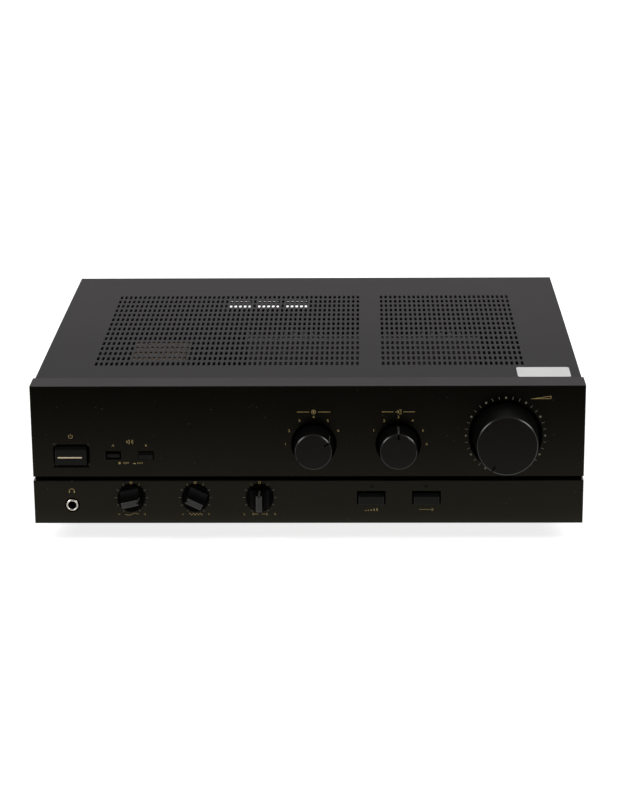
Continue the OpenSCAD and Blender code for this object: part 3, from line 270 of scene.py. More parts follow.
SOCKETS = {
    "colour": "Base Color", "rough": "Roughness", "metal": "Metallic", "gloss": "Specular IOR Level",
    "tint": "Specular Tint", "coat": "Coat Weight", "coat_rough": "Coat Roughness", "coat_ior": "Coat IOR",
    "normal": "Normal",
}
MIX_SHARE, MIX_FIRST, MIX_SECOND, MIX_COLOUR = 0, 6, 7, 2  # sockets of a Mix node that is set to colours


class Finish(Net):
    """One material: a Principled shader whose constants are set on its own sockets."""

    def __init__(self, name, **constants):
        self.material = bpy.data.materials.new(name)
        self.material.use_nodes = True
        super().__init__(self.material.node_tree)
        self.shader = self.tree.nodes["Principled BSDF"]
        self.set(**constants)

    def set(self, **sockets):
        """Sets sockets of the shader, by their short names, to a value or a link."""
        for name, value in sockets.items():
            self.fill(self.shader.inputs[SOCKETS[name]], value)
        return self

    def place(self, scale=None):
        """Object coordinates, scaled where a pattern runs one way."""
        coords = self.node("ShaderNodeTexCoord", out="Object")
        if scale is None:
            return coords
        return self.node("ShaderNodeMapping", {"vector_type": "TEXTURE"}, {"Vector": coords, "Scale": scale})

    def noise(self, size, detail, where=None):
        """Cloudy value from 0 to 1 whose patches are about size metres across."""
        return self.node("ShaderNodeTexNoise", {},
                         {"Vector": where or self.place(), "Scale": 1 / size, "Detail": detail})

    def cells(self, size):
        """Distance from the middle of scattered cells, as a share of their size in metres."""
        return self.node("ShaderNodeTexVoronoi", {}, {"Vector": self.place(), "Scale": 1 / size})

    def mix(self, share, first, second):
        """Colour between two colours."""
        return self.node("ShaderNodeMix", {"data_type": "RGBA"},
                         {MIX_SHARE: share, MIX_FIRST: first, MIX_SECOND: second}, out=MIX_COLOUR)

    def axis(self, number):
        """One of the object's own coordinates, in metres."""
        return self.node("ShaderNodeSeparateXYZ", {}, {0: self.place()}, out=number)

    def bump(self, height, depth, strength):
        """Adds a relief of that depth in metres, which completes the material."""
        relief = self.node("ShaderNodeBump", {}, {"Height": height, "Distance": depth, "Strength": strength})
        return self.set(normal=relief).material

    def grain(self, size, depth, strength):
        """Adds a fine cloudy relief, which completes the material."""
        return self.bump(self.noise(size, 2), depth, strength)


def times(colour, share):
    """A colour made paler or darker by a share."""
    return tuple(share * part for part in colour)


# Finishes: colours are linear, and the numbers of noise and grain are sizes in metres.

def cover_paint():
    """Dark warm-grey paint on sheet steel, with a fine grain and faint rubbed patches, painted paler from
    the front
    to the rear: painted light where the lamps fall brighter on the rear."""
    f = Finish("cover_paint", gloss=0.12)
    low, high = corners("top_cover")
    # Painted light: the paint grows paler from the front to the rear, where the lamps fall brighter.
    patches, painted_rear_light = f.noise(0.06, 4), f.ease(f.axis(Y), low[Y] * MM, high[Y] * MM)
    front_paint = f.mix(patches, (0.0205, 0.0188, 0.0193), (0.0265, 0.0245, 0.0251))
    rear_paint_painted_light = f.mix(patches, (0.0285, 0.0260, 0.0268), (0.0365, 0.0336, 0.0345))
    f.set(colour=f.mix(painted_rear_light, front_paint, rear_paint_painted_light), rough=0.68 + 0.10 * patches)
    return f.grain(0.0007, 0.00006, 0.35)


def fascia_plastic():
    """Black moulded front: very fine grain, dull where it was wiped, a few specks of dust, chips along its
    two ends, and a top face that is dull and painted paler as painted light, where the lamps above fall on
    it."""
    chip_reach, ledge_reach = 0.7, 0.2
    # The second colour, for the top face, is painted light: paler because the lamps above fall on it.
    front, top_painted_light = (0.0022, 0.0020, 0.0014), (0.0082, 0.0066, 0.0115)
    speck, chip = (0.046, 0.044, 0.039), (0.045, 0.043, 0.038)
    f = Finish("fascia_plastic", gloss=0.30, tint=(1.0, 0.94, 0.70))
    end_x, _, top_z = corners("upper_fascia")[HIGH]
    wiped = f.noise(0.035, 4)
    specks = (f.cells(0.006) < 0.06) * (f.noise(0.015, 1) > 0.54)
    at_ends = f.axis(X) * f.axis(X) > ((end_x - chip_reach) * MM) ** 2
    chips = at_ends * (f.noise(0.006, 2) > 0.68)
    on_ledge = f.axis(Z) > (top_z - ledge_reach) * MM
    whole = f.mix(specks, f.mix(on_ledge, front, top_painted_light), speck)
    f.set(colour=f.mix(chips, whole, chip),
          rough=0.21 + 0.08 * wiped + 0.25 * specks + 0.45 * on_ledge)
    return f.grain(0.0004, 0.00002, 0.25)


def control_plastic(name, node, face, rim, lip, sheen=1.0, flank=0.08, skirt=0.0):
    """Black plastic of a control: dark sides, a satin face, and a rim of depth lip that is painted paler,
    partly rubbed wear and partly a painted highlight.
    Sheen and flank are the coats of the face and of the sides. A skirt has none and is painted near black as
    painted shade."""
    slack = 0.05
    dark, rubbed, skirt_painted_shade = (0.0016, 0.0015, 0.0014), (0.0030, 0.0028, 0.0026), (0.0003, 0.0003, 0.0003)
    f = Finish(name, gloss=0.05, coat_rough=0.28, coat_ior=1.33)
    (_, front, _), (_, back, _) = corners(node)
    worn = f.noise(0.010, 4)
    on_face = f.axis(Y) < (front + slack) * MM
    ahead = f.axis(Y) < (front + lip) * MM
    side, coat = f.mix(worn, dark, rubbed), flank + (sheen - flank) * ahead
    # A skirt is painted near black as painted shade, and loses its coat.
    if skirt:
        on_skirt = f.axis(Y) > (back - skirt - slack) * MM
        side, coat = f.mix(on_skirt, side, skirt_painted_shade), coat * (1 - on_skirt)
    # The rim is painted paler than the face: rubbed wear and a painted highlight.
    outer = f.mix(on_face, rim, f.mix(worn, face, times(face, 1.4)))
    f.set(colour=f.mix(ahead, side, outer), rough=0.30 + 0.12 * worn, coat=coat)
    return f.grain(0.0003, 0.00002, 0.3)


def printed(name, colour, wear):
    """Screen-printed ink with thin places."""
    f = Finish(name, gloss=0.3)
    thin = f.noise(0.0012, 3)
    f.set(colour=f.mix(thin * wear, colour, times(colour, 0.35)), rough=0.55 + 0.2 * thin)
    return f.material


def plated(name, colour, rough, size):
    """Bright plating whose polish varies a little."""
    f = Finish(name, metal=1.0)
    haze = f.noise(size, 3)
    f.set(colour=f.mix(haze, colour, times(colour, 0.8)), rough=rough + 0.15 * haze)
    return f.bump(haze, 0.00002, 0.3)


def zinc_sheet():
    """Dark passivated zinc on sheet steel, with a rolled grain from front to rear and small darker spots."""
    f = Finish("zinc_sheet", metal=1.0)
    rolled = f.noise(0.001, 3, f.place((0.02, 1, 1)))
    f.set(colour=f.mix(f.cells(0.012) * 60, (0.19, 0.19, 0.185), (0.26, 0.255, 0.24)),
          rough=0.36 + 0.22 * rolled)
    return f.bump(rolled, 0.00003, 0.3)


def black_sheet():
    """Black satin paint of the rear panel."""
    f = Finish("black_sheet", gloss=0.3)
    patches = f.noise(0.05, 4)
    f.set(colour=f.mix(patches, (0.010, 0.010, 0.010), (0.016, 0.0155, 0.015)), rough=0.42 + 0.16 * patches)
    return f.grain(0.0007, 0.00005, 0.35)


def moulded_black(name, size):
    """Black moulded plastic or rubber with a coarse spark-eroded grain."""
    f = Finish(name, gloss=0.35)
    clouds = f.noise(0.02, 4)
    f.set(colour=f.mix(clouds, (0.012, 0.012, 0.012), (0.020, 0.0195, 0.019)), rough=0.5 + 0.2 * clouds)
    return f.grain(size, 0.00008, 0.4)


def tinted_plastic(name, colour, rough):
    """Coloured moulded plastic with a little unevenness."""
    f = Finish(name, gloss=0.45)
    clouds = f.noise(0.008, 4)
    f.set(colour=f.mix(clouds, colour, times(colour, 0.72)), rough=rough + 0.12 * clouds)
    return f.grain(0.0005, 0.00003, 0.3)


def socket_inserts():
    """Moulded inserts: white in the upper row of each pair and red in the lower."""
    red, white, soil = (0.42, 0.012, 0.014), (0.72, 0.71, 0.68), (0.2, 0.15, 0.13)
    f = Finish("socket_inserts", gloss=0.45)
    clouds = f.noise(0.004, 3)
    pair = f.mix(f.axis(Z) > middle("socket_inserts")[Z] * MM, red, white)
    f.set(colour=f.mix(clouds * 0.3, pair, soil), rough=0.35 + 0.15 * clouds)
    return f.grain(0.0005, 0.00002, 0.3)


def laminations():
    """Varnished iron stack: fine sheet edges across its thickness under brown varnish, darker down its
    sides."""
    top_sheet, shaded = 1.0, (0.022, 0.015, 0.010)
    f = Finish("laminations", gloss=0.5, coat=0.3, coat_rough=0.35)
    sheets = f.node("ShaderNodeTexWave", {"bands_direction": "Y"},
                    {"Vector": f.place(), "Scale": 420, "Distortion": 0.4, "Detail": 2})
    runs = f.noise(0.012, 4)
    upper = f.axis(Z) > (corners("transformer_strap")[HIGH][Z] - top_sheet) * MM
    varnish = f.mix(runs, (0.19, 0.125, 0.075), (0.26, 0.175, 0.105))
    f.set(colour=f.mix(upper, shaded, varnish), rough=0.4 + 0.25 * runs)
    return f.bump(sheets, 0.0002, 0.5)


def winding_tape():
    """Yellow-brown tape wound over the coil, with the edge of each turn showing."""
    f = Finish("winding_tape", gloss=0.5)
    turns = f.node("ShaderNodeTexWave", {"bands_direction": "X", "wave_profile": "SAW"},
                   {"Vector": f.place(), "Scale": 26, "Distortion": 0.6, "Detail": 2})
    f.set(colour=f.mix(turns, (0.34, 0.20, 0.07), (0.52, 0.34, 0.13)), rough=0.3 + 0.2 * turns)
    return f.bump(turns, 0.0004, 0.5)


def circuit_board():
    """Brown pressed-paper board with scattered solder pads."""
    solder = (0.42, 0.40, 0.36)
    f = Finish("circuit_board", gloss=0.45)
    pads = f.cells(0.0045) < 0.22
    board = f.mix(f.noise(0.003, 4), (0.22, 0.12, 0.045), (0.32, 0.19, 0.075))
    f.set(colour=f.mix(pads * 0.7, board, solder), rough=0.5 - 0.15 * pads, metal=pads * 0.6)
    return f.bump(pads, 0.0003, 0.5)


def grey_anodised():
    """Extruded aluminium under a dull grey anodised skin, with level drawing lines."""
    f = Finish("grey_anodised", gloss=0.3)
    lines = f.noise(0.0012, 3, f.place((1, 1, 0.02)))
    f.set(colour=f.mix(lines, (0.17, 0.17, 0.168), (0.25, 0.25, 0.245)), rough=0.5 + 0.2 * lines)
    return f.bump(lines, 0.00005, 0.4)


def capacitor_sleeve():
    """Shrunk plastic sleeve over a can, with bare metal where its top is open."""
    open_top, sleeve, metal = 0.6, (0.012, 0.016, 0.05), (0.55, 0.55, 0.54)
    f = Finish("capacitor_sleeve", gloss=0.5)
    bare = f.axis(Z) > (corners("smoothing_capacitors")[HIGH][Z] - open_top) * MM
    wrinkles = f.noise(0.006, 3, f.place((1, 1, 6)))
    f.set(colour=f.mix(bare, sleeve, metal), metal=bare, rough=0.28 + 0.2 * wrinkles)
    return f.bump(wrinkles, 0.0003, 0.4)


def lamp_lens():
    """Unlit lamp window, deep red and glossy."""
    f = Finish("lamp_lens", gloss=0.15)
    depth = f.noise(0.0008, 2)
    f.set(colour=f.mix(depth, (0.003, 0.0018, 0.001), (0.006, 0.003, 0.002)), rough=0.2 + 0.1 * depth)
    return f.material


def well_shade_felt():
    """Black felt with short matted fibres, used as painted shade in the knob wells."""
    f = Finish("well_shade_felt", gloss=0.0)
    fibres = f.noise(0.0006, 4)
    f.set(colour=f.mix(fibres, (0.0010, 0.0010, 0.0009), (0.0026, 0.0025, 0.0024)),
          rough=0.9 + 0.1 * fibres)
    return f.bump(fibres, 0.0002, 0.6)


def label_paper():
    """White coated paper, a little soiled in patches."""
    f = Finish("label_paper", gloss=0.35)
    soil = f.noise(0.010, 5)
    f.set(colour=f.mix(soil * 0.25, (0.60, 0.60, 0.595), (0.42, 0.41, 0.395)), rough=0.45 + 0.2 * soil)
    return f.bump(f.noise(0.0006, 3), 0.00003, 0.3)


GOLD, BEIGE, CREAM, WHITE = (0.50, 0.37, 0.15), (0.26, 0.235, 0.165), (0.90, 0.74, 0.52), (0.55, 0.55, 0.53)

# Controls: colour of the face, colour of the rim (rubbed wear and a painted highlight), and depth of the
# rim's lip in millimetres
KNOB = (0.0052, 0.0044, 0.0032), (0.007, 0.0067, 0.006), 0.85
BLADE = (0.040, 0.039, 0.037), (0.05, 0.049, 0.046), 0.35
PUSH = (0.0034, 0.0032, 0.0022), (0.0044, 0.0042, 0.0034), 0.3

finishes = {
    "cover": cover_paint(),
    "fascia": fascia_plastic(),
    "volume": control_plastic("volume_plastic", "volume_knob", *KNOB),
    "selector": control_plastic("selector_plastic", "rec_knob", *KNOB),
    "blade": control_plastic("blade_plastic", "bass_knob", *BLADE, flank=0.2, skirt=2.4),
    "power": control_plastic("power_plastic", "power_button", *PUSH, sheen=0.9),
    "latched": control_plastic("latched_plastic", "speaker_a_button", *PUSH),
    "released": control_plastic("released_plastic", "speaker_b_button", *PUSH),
    "sound": control_plastic("sound_plastic", "loudness_button", *PUSH, sheen=0.8, flank=0.4),
    "gold": printed("gold_print", GOLD, 0.6),
    "beige": printed("beige_print", BEIGE, 0.6),
    "cream": printed("cream_line", CREAM, 0.15),
    "white": printed("white_print", WHITE, 0.4),
    "pointer": printed("pointer_paint", (0.105, 0.103, 0.096), 0.5),
    "tone_pointer": printed("tone_pointer_paint", (0.14, 0.137, 0.128), 0.5),
    "nickel": plated("nickel_plate", (0.86, 0.80, 0.70), 0.16, 0.004),
    "rolled": plated("rolled_nickel", (0.97, 0.92, 0.83), 0.42, 0.02),
    "bright": plated("bright_steel", (0.62, 0.62, 0.62), 0.28, 0.003),
    "black_zinc": plated("black_zinc", (0.06, 0.06, 0.062), 0.34, 0.002),
    "zinc": zinc_sheet(),
    "rear": black_sheet(),
    "rubber": moulded_black("foot_rubber", 0.0012),
    "moulded": moulded_black("moulded_black", 0.0008),
    "inserts": socket_inserts(),
    "red": tinted_plastic("red_lever", (0.40, 0.012, 0.012), 0.34),
    "black": tinted_plastic("black_lever", (0.018, 0.018, 0.018), 0.36),
    "ivory": tinted_plastic("ivory_plastic", (0.58, 0.55, 0.47), 0.4),
    "brown": tinted_plastic("brown_wafer", (0.24, 0.13, 0.05), 0.5),
    "relay": tinted_plastic("relay_case", (0.03, 0.05, 0.14), 0.25),
    "core": laminations(),
    "tape": winding_tape(),
    "board": circuit_board(),
    "anodised": grey_anodised(),
    "sleeve": capacitor_sleeve(),
    "lamp": lamp_lens(),
    "felt": well_shade_felt(),
    "card": tinted_plastic("pressed_card", (0.010, 0.010, 0.011), 0.6),
    "paper": label_paper(),
}

KNOBS = ["volume", "rec", "input", "bass", "treble", "balance"]
LEVERS = [f"lever_{row}{k}" for row in "ab" for k in range(1, 5)]

wears = {
    "cover": ["top_cover"],
    "fascia": ["upper_fascia", "lower_fascia"],
    "volume": ["volume_knob"],
    "selector": ["rec_knob", "input_knob"],
    "blade": ["bass_knob", "treble_knob", "balance_knob"],
    "power": ["power_button"],
    "latched": ["speaker_a_button"],
    "released": ["speaker_b_button"],
    "sound": ["loudness_button", "direct_button"],
    "nickel": ["phones_sleeve", "socket_shells"],
    "bright": ["ground_post", "control_nuts", "foot_screws", "volume_pot", "tone_pots", "board_standoffs"]
              + [f"{name}_shaft" for name in KNOBS],
    "black_zinc": ["case_screws"],
    "zinc": ["chassis_base", "front_frame"],
    "rear": ["rear_panel"],
    "rubber": ["feet", "cord_gland"],
    "moulded": ["terminal_housings", "socket_blocks", "power_switch", "phones_jack", "power_transistors"],
    "inserts": ["socket_inserts"],
    "red": LEVERS[0::2],
    "black": LEVERS[1::2],
    "ivory": ["push_switches"],
    "brown": ["selector_switches"],
    "relay": ["speaker_relay"],
    "core": ["transformer_core", "transformer_strap"],
    "tape": ["transformer_coil"],
    "board": ["main_board", "tone_board"],
    "anodised": ["heat_sink"],
    "sleeve": ["smoothing_capacitors"],
    "lamp": ["lamp_guides"],
}
for finish, names in wears.items():
    for name in names:
        slots = nodes[name].data.materials
        slots.clear()
        slots.append(finishes[finish])


# Printed marks on the two fascias. A mark is a film of ink that starts just inside the face. The numbers
# in a sign are its drawing, counted from its middle.

INK_LOW, INK_HIGH = -0.02, 0.04
STROKE, FINE, TICK = 0.40, 0.35, 0.36  # widths of lines, of closely drawn signs and of ticks
DOT_SIDES = 20
SWEEP, STOP = 150, 30  # degrees that a scale runs to each side of its top, and between its stops
ARM, END_H = 0.9, 1.7  # half a minus or plus, and the height of a letter in its place
SQUARE = np.array([[-1, -1], [1, -1], [1, 1], [-1, 1]])

gold, beige = Shape(on_front), Shape(on_front)


def line(ink, points, at=(0, 0), width=STROKE, closed=False):
    """Line of ink through (x, z) points, counted from a place."""
    points = np.asarray(points, float) + at
    ink.strip(np.column_stack([points, np.zeros(len(points))]), width, INK_LOW, INK_HIGH, closed=closed)


def dot(ink, x, z, r):
    """Filled circle of ink."""
    ink.pad(arc(x, z, r, 360, 360 / DOT_SIDES, DOT_SIDES), INK_LOW, INK_HIGH)


def block(ink, x, z, w, h):
    """Filled rectangle of ink."""
    ink.pad(SQUARE * [w / 2, h / 2] + [x, z], INK_LOW, INK_HIGH)


def lettering(ink, text, x, z, height, stretch=1.25):
    """Letters or digits centred at x and z, drawn wide like engraved panel lettering."""
    curve = bpy.data.curves.new("lettering", "FONT")
    curve.body, curve.align_x, curve.resolution_u = text, "CENTER", 4
    curve.size, curve.extrude = 1, 0.01
    obj = new_object("lettering", curve)
    bpy.context.view_layer.update()
    mesh = bpy.data.meshes.new_from_object(obj.evaluated_get(bpy.context.evaluated_depsgraph_get()))
    points = vertices(mesh)
    cap = np.ptp(points[:, 1])
    points[:, :2] *= [height / cap * stretch, height / cap]
    points[:, 1] -= (points[:, 1].min() + points[:, 1].max()) / 2
    points[:, 2] = np.where(points[:, 2] > 0, INK_HIGH, INK_LOW)
    ink.add(points + [x, z, 0], [list(face.vertices) for face in mesh.polygons])
    bpy.data.objects.remove(obj)
    bpy.data.meshes.remove(mesh)
    bpy.data.curves.remove(curve)


def tick(centre, angle, r0, r1):
    """Tick of a scale between two radii, at an angle clockwise from the top."""
    line(beige, [around(centre, r, angle) for r in (r0, r1)], width=TICK)


def rules(x, z, inner):
    """Level rules on both sides of a heading."""
    outer = 12.5
    for side in (-1, 1):
        line(gold, [(side * inner, 0), (side * outer, 0)], (x, z))


def arrow(x, z, start, end, length, half):
    """Level shaft from start to end with an open head of that length and half width."""
    neck = end - math.copysign(length, end - start)
    line(gold, [(start, 0), (end, 0)], (x, z))
    line(gold, [(neck, half), (end, 0), (neck, -half)], (x, z))


def volume_scale():
    """Eleven dots on a ring round the volume knob, with two fine ticks between neighbours, and a wedge."""
    ring, dot_r, half_tick, step = 30.0, 0.85, 1.1, 10
    wedge, right, up = [(-6.5, -1.0), (6.5, -1.0), (6.5, 1.0)], 27.2, 30.2
    x, z = knob_axis("volume")
    for angle in range(-SWEEP, SWEEP + 1, step):
        if angle % STOP:
            tick((x, z), angle, ring - half_tick, ring + half_tick)
        else:
            dot(beige, *around((x, z), ring, angle), dot_r)
    line(gold, wedge, (x + right, z + up), closed=True)


def selector_marks(name, first, heading):
    """Numbers 1 to 6 at the six stops of a selector, under its heading."""
    ring, height, up = 21.5, 2.0, 25.5
    x, z = knob_axis(name)
    for k in range(6):
        lettering(gold, str(k + 1), *around((x, z), ring, first + STOP * k), height)
    heading(x, z + up)


def record_sign(x, z):
    """Filled circle in a ring between two rules."""
    dot(gold, x, z, 0.8)
    line(gold, arc(x, z, 1.6, 0, 345, 24), width=FINE, closed=True)
    rules(x, z, 3.4)


def input_sign(x, z):
    """Arrow into a bracket between two rules."""
    arrow(x, z, -2.2, 0.6, 1.2, 1.1)
    line(gold, [(0.6, 1.6), (2.0, 1.6), (2.0, -1.6), (0.6, -1.6)], (x, z))
    rules(x, z, 3.8)


def tone_scale(name, sign, ends, spread=10.0):
    """Ticks at the stops round a tone knob, its middle mark, its sign and the marks of its two ends."""
    r0, r1, nought_up, nought_h, nought_stretch, down = 10.9, 13.0, 12.0, 2.1, 1.5, 13.5
    x, z = knob_axis(name)
    for angle in range(-SWEEP, SWEEP + 1, STOP):
        if angle:
            tick((x, z), angle, r0, r1)
    lettering(gold, "0", x, z + nought_up, nought_h, nought_stretch)
    sign(x, z - down)
    for side, end in zip((-1, 1), ends):
        end(x + side * spread, z - down)


def wave_sign(cycles, ink=gold):
    """Sine line of so many cycles: x = half t and z = height sin(pi n t), for t from -1 to 1."""
    half, height = 5.2, 0.75

    def draw(x, z):
        t = np.linspace(-1, 1, 16 * cycles + 1)
        line(ink, np.column_stack([half * t, height * np.sin(math.pi * cycles * t)]), (x, z))
    return draw


def balance_sign(x, z):
    """Two arrows that point apart."""
    for side in (-1, 1):
        arrow(x, z, side * 1.2, side * 6.0, 1.2, 1.0)


def minus(x, z, ink=gold):
    """Short level bar."""
    line(ink, [(-ARM, 0), (ARM, 0)], (x, z))


def plus(x, z, ink=gold):
    """Two short bars that cross."""
    minus(x, z, ink)
    line(ink, [(0, -ARM), (0, ARM)], (x, z))


def letter(text):
    """Sign that is a letter, for the end of a scale."""
    return lambda x, z: lettering(gold, text, x, z, END_H)


def power_sign(x, z):
    """Broken ring with a bar through the gap."""
    line(gold, arc(x, z, 1.5, 40, 320, 24))
    line(gold, [(0, 0.3), (0, 1.9)], (x, z))


def speaker_sign(x, z):
    """Loudspeaker seen from the side with two sound waves."""
    cone = [(-2.2, -0.6), (-2.2, 0.6), (-1.2, 0.6), (0, 1.6), (0, -1.6), (-1.2, -0.6)]
    line(gold, cone, (x, z), FINE, closed=True)
    for r in (1.3, 2.3):
        line(gold, arc(x + 0.4, z, r, 45, 135, 10), width=FINE)


def phones_sign(x, z):
    """Headband with two ear pieces."""
    r = 1.9
    line(gold, arc(x, z - 0.4, r, -90, 90, 18))
    for side in (-1, 1):
        block(gold, x + side * r, z - 1.1, 0.9, 1.5)


def loudness_sign(x, z):
    """Five bars that rise to the right."""
    for k in range(5):
        height = 0.6 + 0.4 * k
        block(gold, x + 2.2 * (k - 2), z - 1.1 + height / 2, 1.1, height)


def direct_sign(x, z):
    """Long arrow to the right."""
    arrow(x, z, -5.5, 5.5, 1.5, 1.1)


def switch_legend(x, z):
    """Square for out and bar for in, each with its word."""
    height = 1.5
    block(gold, x - 8.0, z, 1.6, 1.6)
    lettering(gold, "OFF", x - 3.0, z, height)
    block(gold, x + 3.4, z - 0.4, 2.2, 0.8)
    lettering(gold, "ON", x + 7.6, z, height)


def button_marks():
    """Signs over the power button and the phones jack, round the two speaker buttons, and under the two
    sound buttons."""
    power_up, phones_up, sound_down = 15.2, 11.6, 9.6
    speaker_up, letter_up, letter_h, legend_down = 10.8, 7.9, 1.6, 6.2
    x, z = facing("power_button")
    power_sign(x, z + power_up)
    (a_x, z), (b_x, _) = facing("speaker_a_button"), facing("speaker_b_button")
    speaker_sign((a_x + b_x) / 2, z + speaker_up)
    lettering(gold, "A", a_x, z + letter_up, letter_h)
    lettering(gold, "B", b_x, z + letter_up, letter_h)
    switch_legend((a_x + b_x) / 2, z - legend_down)
    x, z = facing("phones_sleeve")
    phones_sign(x, z + phones_up)
    for name, sign in (("loudness", loudness_sign), ("direct", direct_sign)):
        x, z = facing(f"{name}_button")
        sign(x, z - sound_down)


volume_scale()
selector_marks("rec", -90, record_sign)
selector_marks("input", -60, input_sign)
tone_scale("bass", wave_sign(1), (minus, plus))
tone_scale("treble", wave_sign(4), (minus, plus))
tone_scale("balance", balance_sign, (letter("L"), letter("R")), 11.8)
button_marks()
gold.piece("gold_marks", "gold")
beige.piece("beige_scales", "beige")


# Printed marks on the rear panel

def earth_sign(ink, x, z):
    """Stem on three bars that shrink downwards."""
    line(ink, [(0, 0), (0, 2.4)], (x, z))
    for k in range(3):
        half = 2.1 - 0.7 * k
        line(ink, [(-half, 0), (half, 0)], (x, z - 0.9 * k))


def rear_marks():
    """Numbered frames round the blocks of phono sockets, letters of the channels and of the terminal rows,
    poles and channels over the upper row, an earth sign and a mains wave."""
    frame_half, number_up, number_h = (17.0, 17.5), 21.0, 2.8
    side_out, side_up, side_h = 20.5, 9.5, 2.6
    row_out, row_h, poles_up, channel_h = 17.0, 3.2, 6.0, 2.2
    earth_down, mains_up = 9.5, 12.5
    ink = Shape(on_rear)
    blocks = [m["pos_m"] for m in frame["record"]["mounts"] if m["name"].startswith("phono_sockets")]
    for k, place in enumerate(blocks):
        x, z = -place[X] / MM, place[Z] / MM
        line(ink, SQUARE * frame_half, (x, z), closed=True)
        lettering(ink, str(k + 1), x, z + number_up, number_h)
        if k == 0:
            lettering(ink, "L", x + side_out, z + side_up, side_h)
            lettering(ink, "R", x + side_out, z - side_up, side_h)
    over = corners("terminal_housings")[HIGH][Z] + poles_up
    for row in "ab":
        places = [behind(f"lever_{row}{k}") for k in range(1, 5)]
        lettering(ink, row.upper(), places[-1][0] + row_out, places[0][1], row_h)
    for k, (x, _) in enumerate(places):
        (minus if k % 2 else plus)(x, over, ink)
    for text, pair in zip("LR", (places[:2], places[2:])):
        lettering(ink, text, (pair[0][0] + pair[1][0]) / 2, over, channel_h)
    x, z = behind("ground_post")
    earth_sign(ink, x, z - earth_down)
    x, z = behind("cord_gland")
    wave_sign(1, ink)(x, z + mains_up)
    ink.piece("rear_marks", "white")


rear_marks()


# Inlaid lines on the moving controls

POINTERS = {"volume": -150, "rec": 60, "input": 0, "bass": 78, "treble": -64, "balance": 0}  # degrees
ROUND_SIDES = {"volume": (25.0, 22.9), "rec": (14.7, 14.0), "input": (14.7, 14.0)}  # radii at back and face
BLADE_SIDE = (7.3, 6.3)
GROOVE_D, GROOVE_W = 1.1, 1.5
BLADE_START, ROUND_START, SHORT_OF_FACE = 2.6, 0.4, 1.2
POINTER_SPAN, POINTER_STEPS = (0.02, 0.93), 6
PAINT_GAP, PAINT_LOW, PAINT_HIGH = 0.1, -0.05, 0.35


def pointer_line(name):
    """Pale paint along the floor of a knob's pointer groove: a bar whose distance from the axis
    runs straight from the knob's back to its face."""
    low, high = corners(f"{name}_knob")
    blade = name not in ROUND_SIDES
    start = FACE_Y - high[Y] + (BLADE_START if blade else ROUND_START)
    end = FACE_Y - low[Y] - SHORT_OF_FACE
    r0, r1 = BLADE_SIDE if blade else ROUND_SIDES[name]
    t = np.linspace(*POINTER_SPAN, POINTER_STEPS)[:, None]
    ray = np.array([*around((0, 0), 1, POINTERS[name]), 0])
    path = np.array([*knob_axis(name), start]) + np.array([0, 0, end - start]) * t
    path += ray * (r0 + (r1 - r0) * t - GROOVE_D)
    shape = Shape(on_front)
    shape.strip(path, GROOVE_W - PAINT_GAP, PAINT_LOW, PAINT_HIGH, rise=ray)
    shape.piece(f"{name}_pointer", "tone_pointer" if blade else "pointer", name)


def power_line():
    """Cream bar with round ends, let into the power button's face."""
    left, down, half, r, steps, sunk, proud = 0.85, 0.95, 8.85, 0.48, 8, 0.1, 0.12
    x, z = facing("power_button")
    x, z = x - left, z - down
    out = FACE_Y - corners("power_button")[LOW][Y]
    ends = [arc(x + half, z, r, 0, 180, steps), arc(x - half, z, r, 180, 360, steps)]
    shape = Shape(on_front)
    shape.pad(np.concatenate(ends)[::-1], out - sunk, out + proud)
    shape.piece("power_line", "cream", "power")


for name in KNOBS:
    pointer_line(name)
power_line()


# Small trim of the fascias

WELLS = {"volume": (27.6, 1.4), "rec": (17.0, 1.6), "input": (17.0, 1.6)}  # radius and depth
# The felt rings are painted shade: near-black sheets on the wells' floors, where the wells are only in
# shadow.
FELT_R, FELT_T, FELT_GAP, FELT_SUNK, FELT_STEPS = 8.0, 0.22, 0.1, 0.02, 72
LIP_BORE, LIP_RISE, LIP_INSET, LIP_SUNK, LIP_FOOT = 3.2, 0.9, 0.1, 0.1, 0.5
LIP_POINTS, LIP_STEPS = 13, 48
RIB_END, CAP_END, GROOVE_H, RIB_FRONT, RIB_BACK = 207.4, 209.0, 3.2, -6.0, -8.0


def well_shade_ring(name):
    """Black felt ring on the floor of a knob's round well, put there as painted shade for the dark well."""
    r, depth = WELLS[name]
    outer, low, high = r - FELT_GAP, -depth - FELT_SUNK, FELT_T - depth
    section = [(outer, high), (FELT_R, high), (FELT_R, low), (outer, low)]
    shape = Shape(on_front)
    shape.turned(section, knob_axis(name), FELT_STEPS)
    shape.piece(f"{name}_felt", "felt")


def groove_ends():
    """Short blocks that carry the groove's rib on to the fascias' two ends."""
    top = corners("upper_fascia")[LOW][Z]
    shape = Shape(on_front)
    for side in (-1, 1):
        x0, x1 = sorted((side * RIB_END, side * CAP_END))
        outline = np.array([[x0, top - GROOVE_H], [x1, top - GROOVE_H], [x1, top], [x0, top]])
        shape.pad(outline, RIB_BACK, RIB_FRONT)
    shape.piece("groove_ends", "fascia")


def phones_lip():
    """Rolled lip of the phones jack: half an ellipse, h = rise sin t over r = mean + half cos t, turned
    about the jack's axis, with its foot sunk into the sleeve."""
    low, high = corners("phones_sleeve")
    outer, face = (high[X] - low[X]) / 2 - LIP_INSET, FACE_Y - low[Y]
    half = (outer - LIP_BORE) / 2
    t = np.linspace(np.pi, 0, LIP_POINTS)
    crown = np.column_stack([LIP_BORE + half + half * np.cos(t), face - LIP_SUNK + LIP_RISE * np.sin(t)])
    foot = [(outer, face - LIP_FOOT), (LIP_BORE, face - LIP_FOOT)]
    shape = Shape(on_front)
    shape.turned(np.concatenate([crown, foot])[::-1], facing("phones_sleeve"), LIP_STEPS)
    shape.piece("phones_lip", "rolled").data.shade_smooth()


for name in WELLS:
    well_shade_ring(name)
groove_ends()
phones_lip()


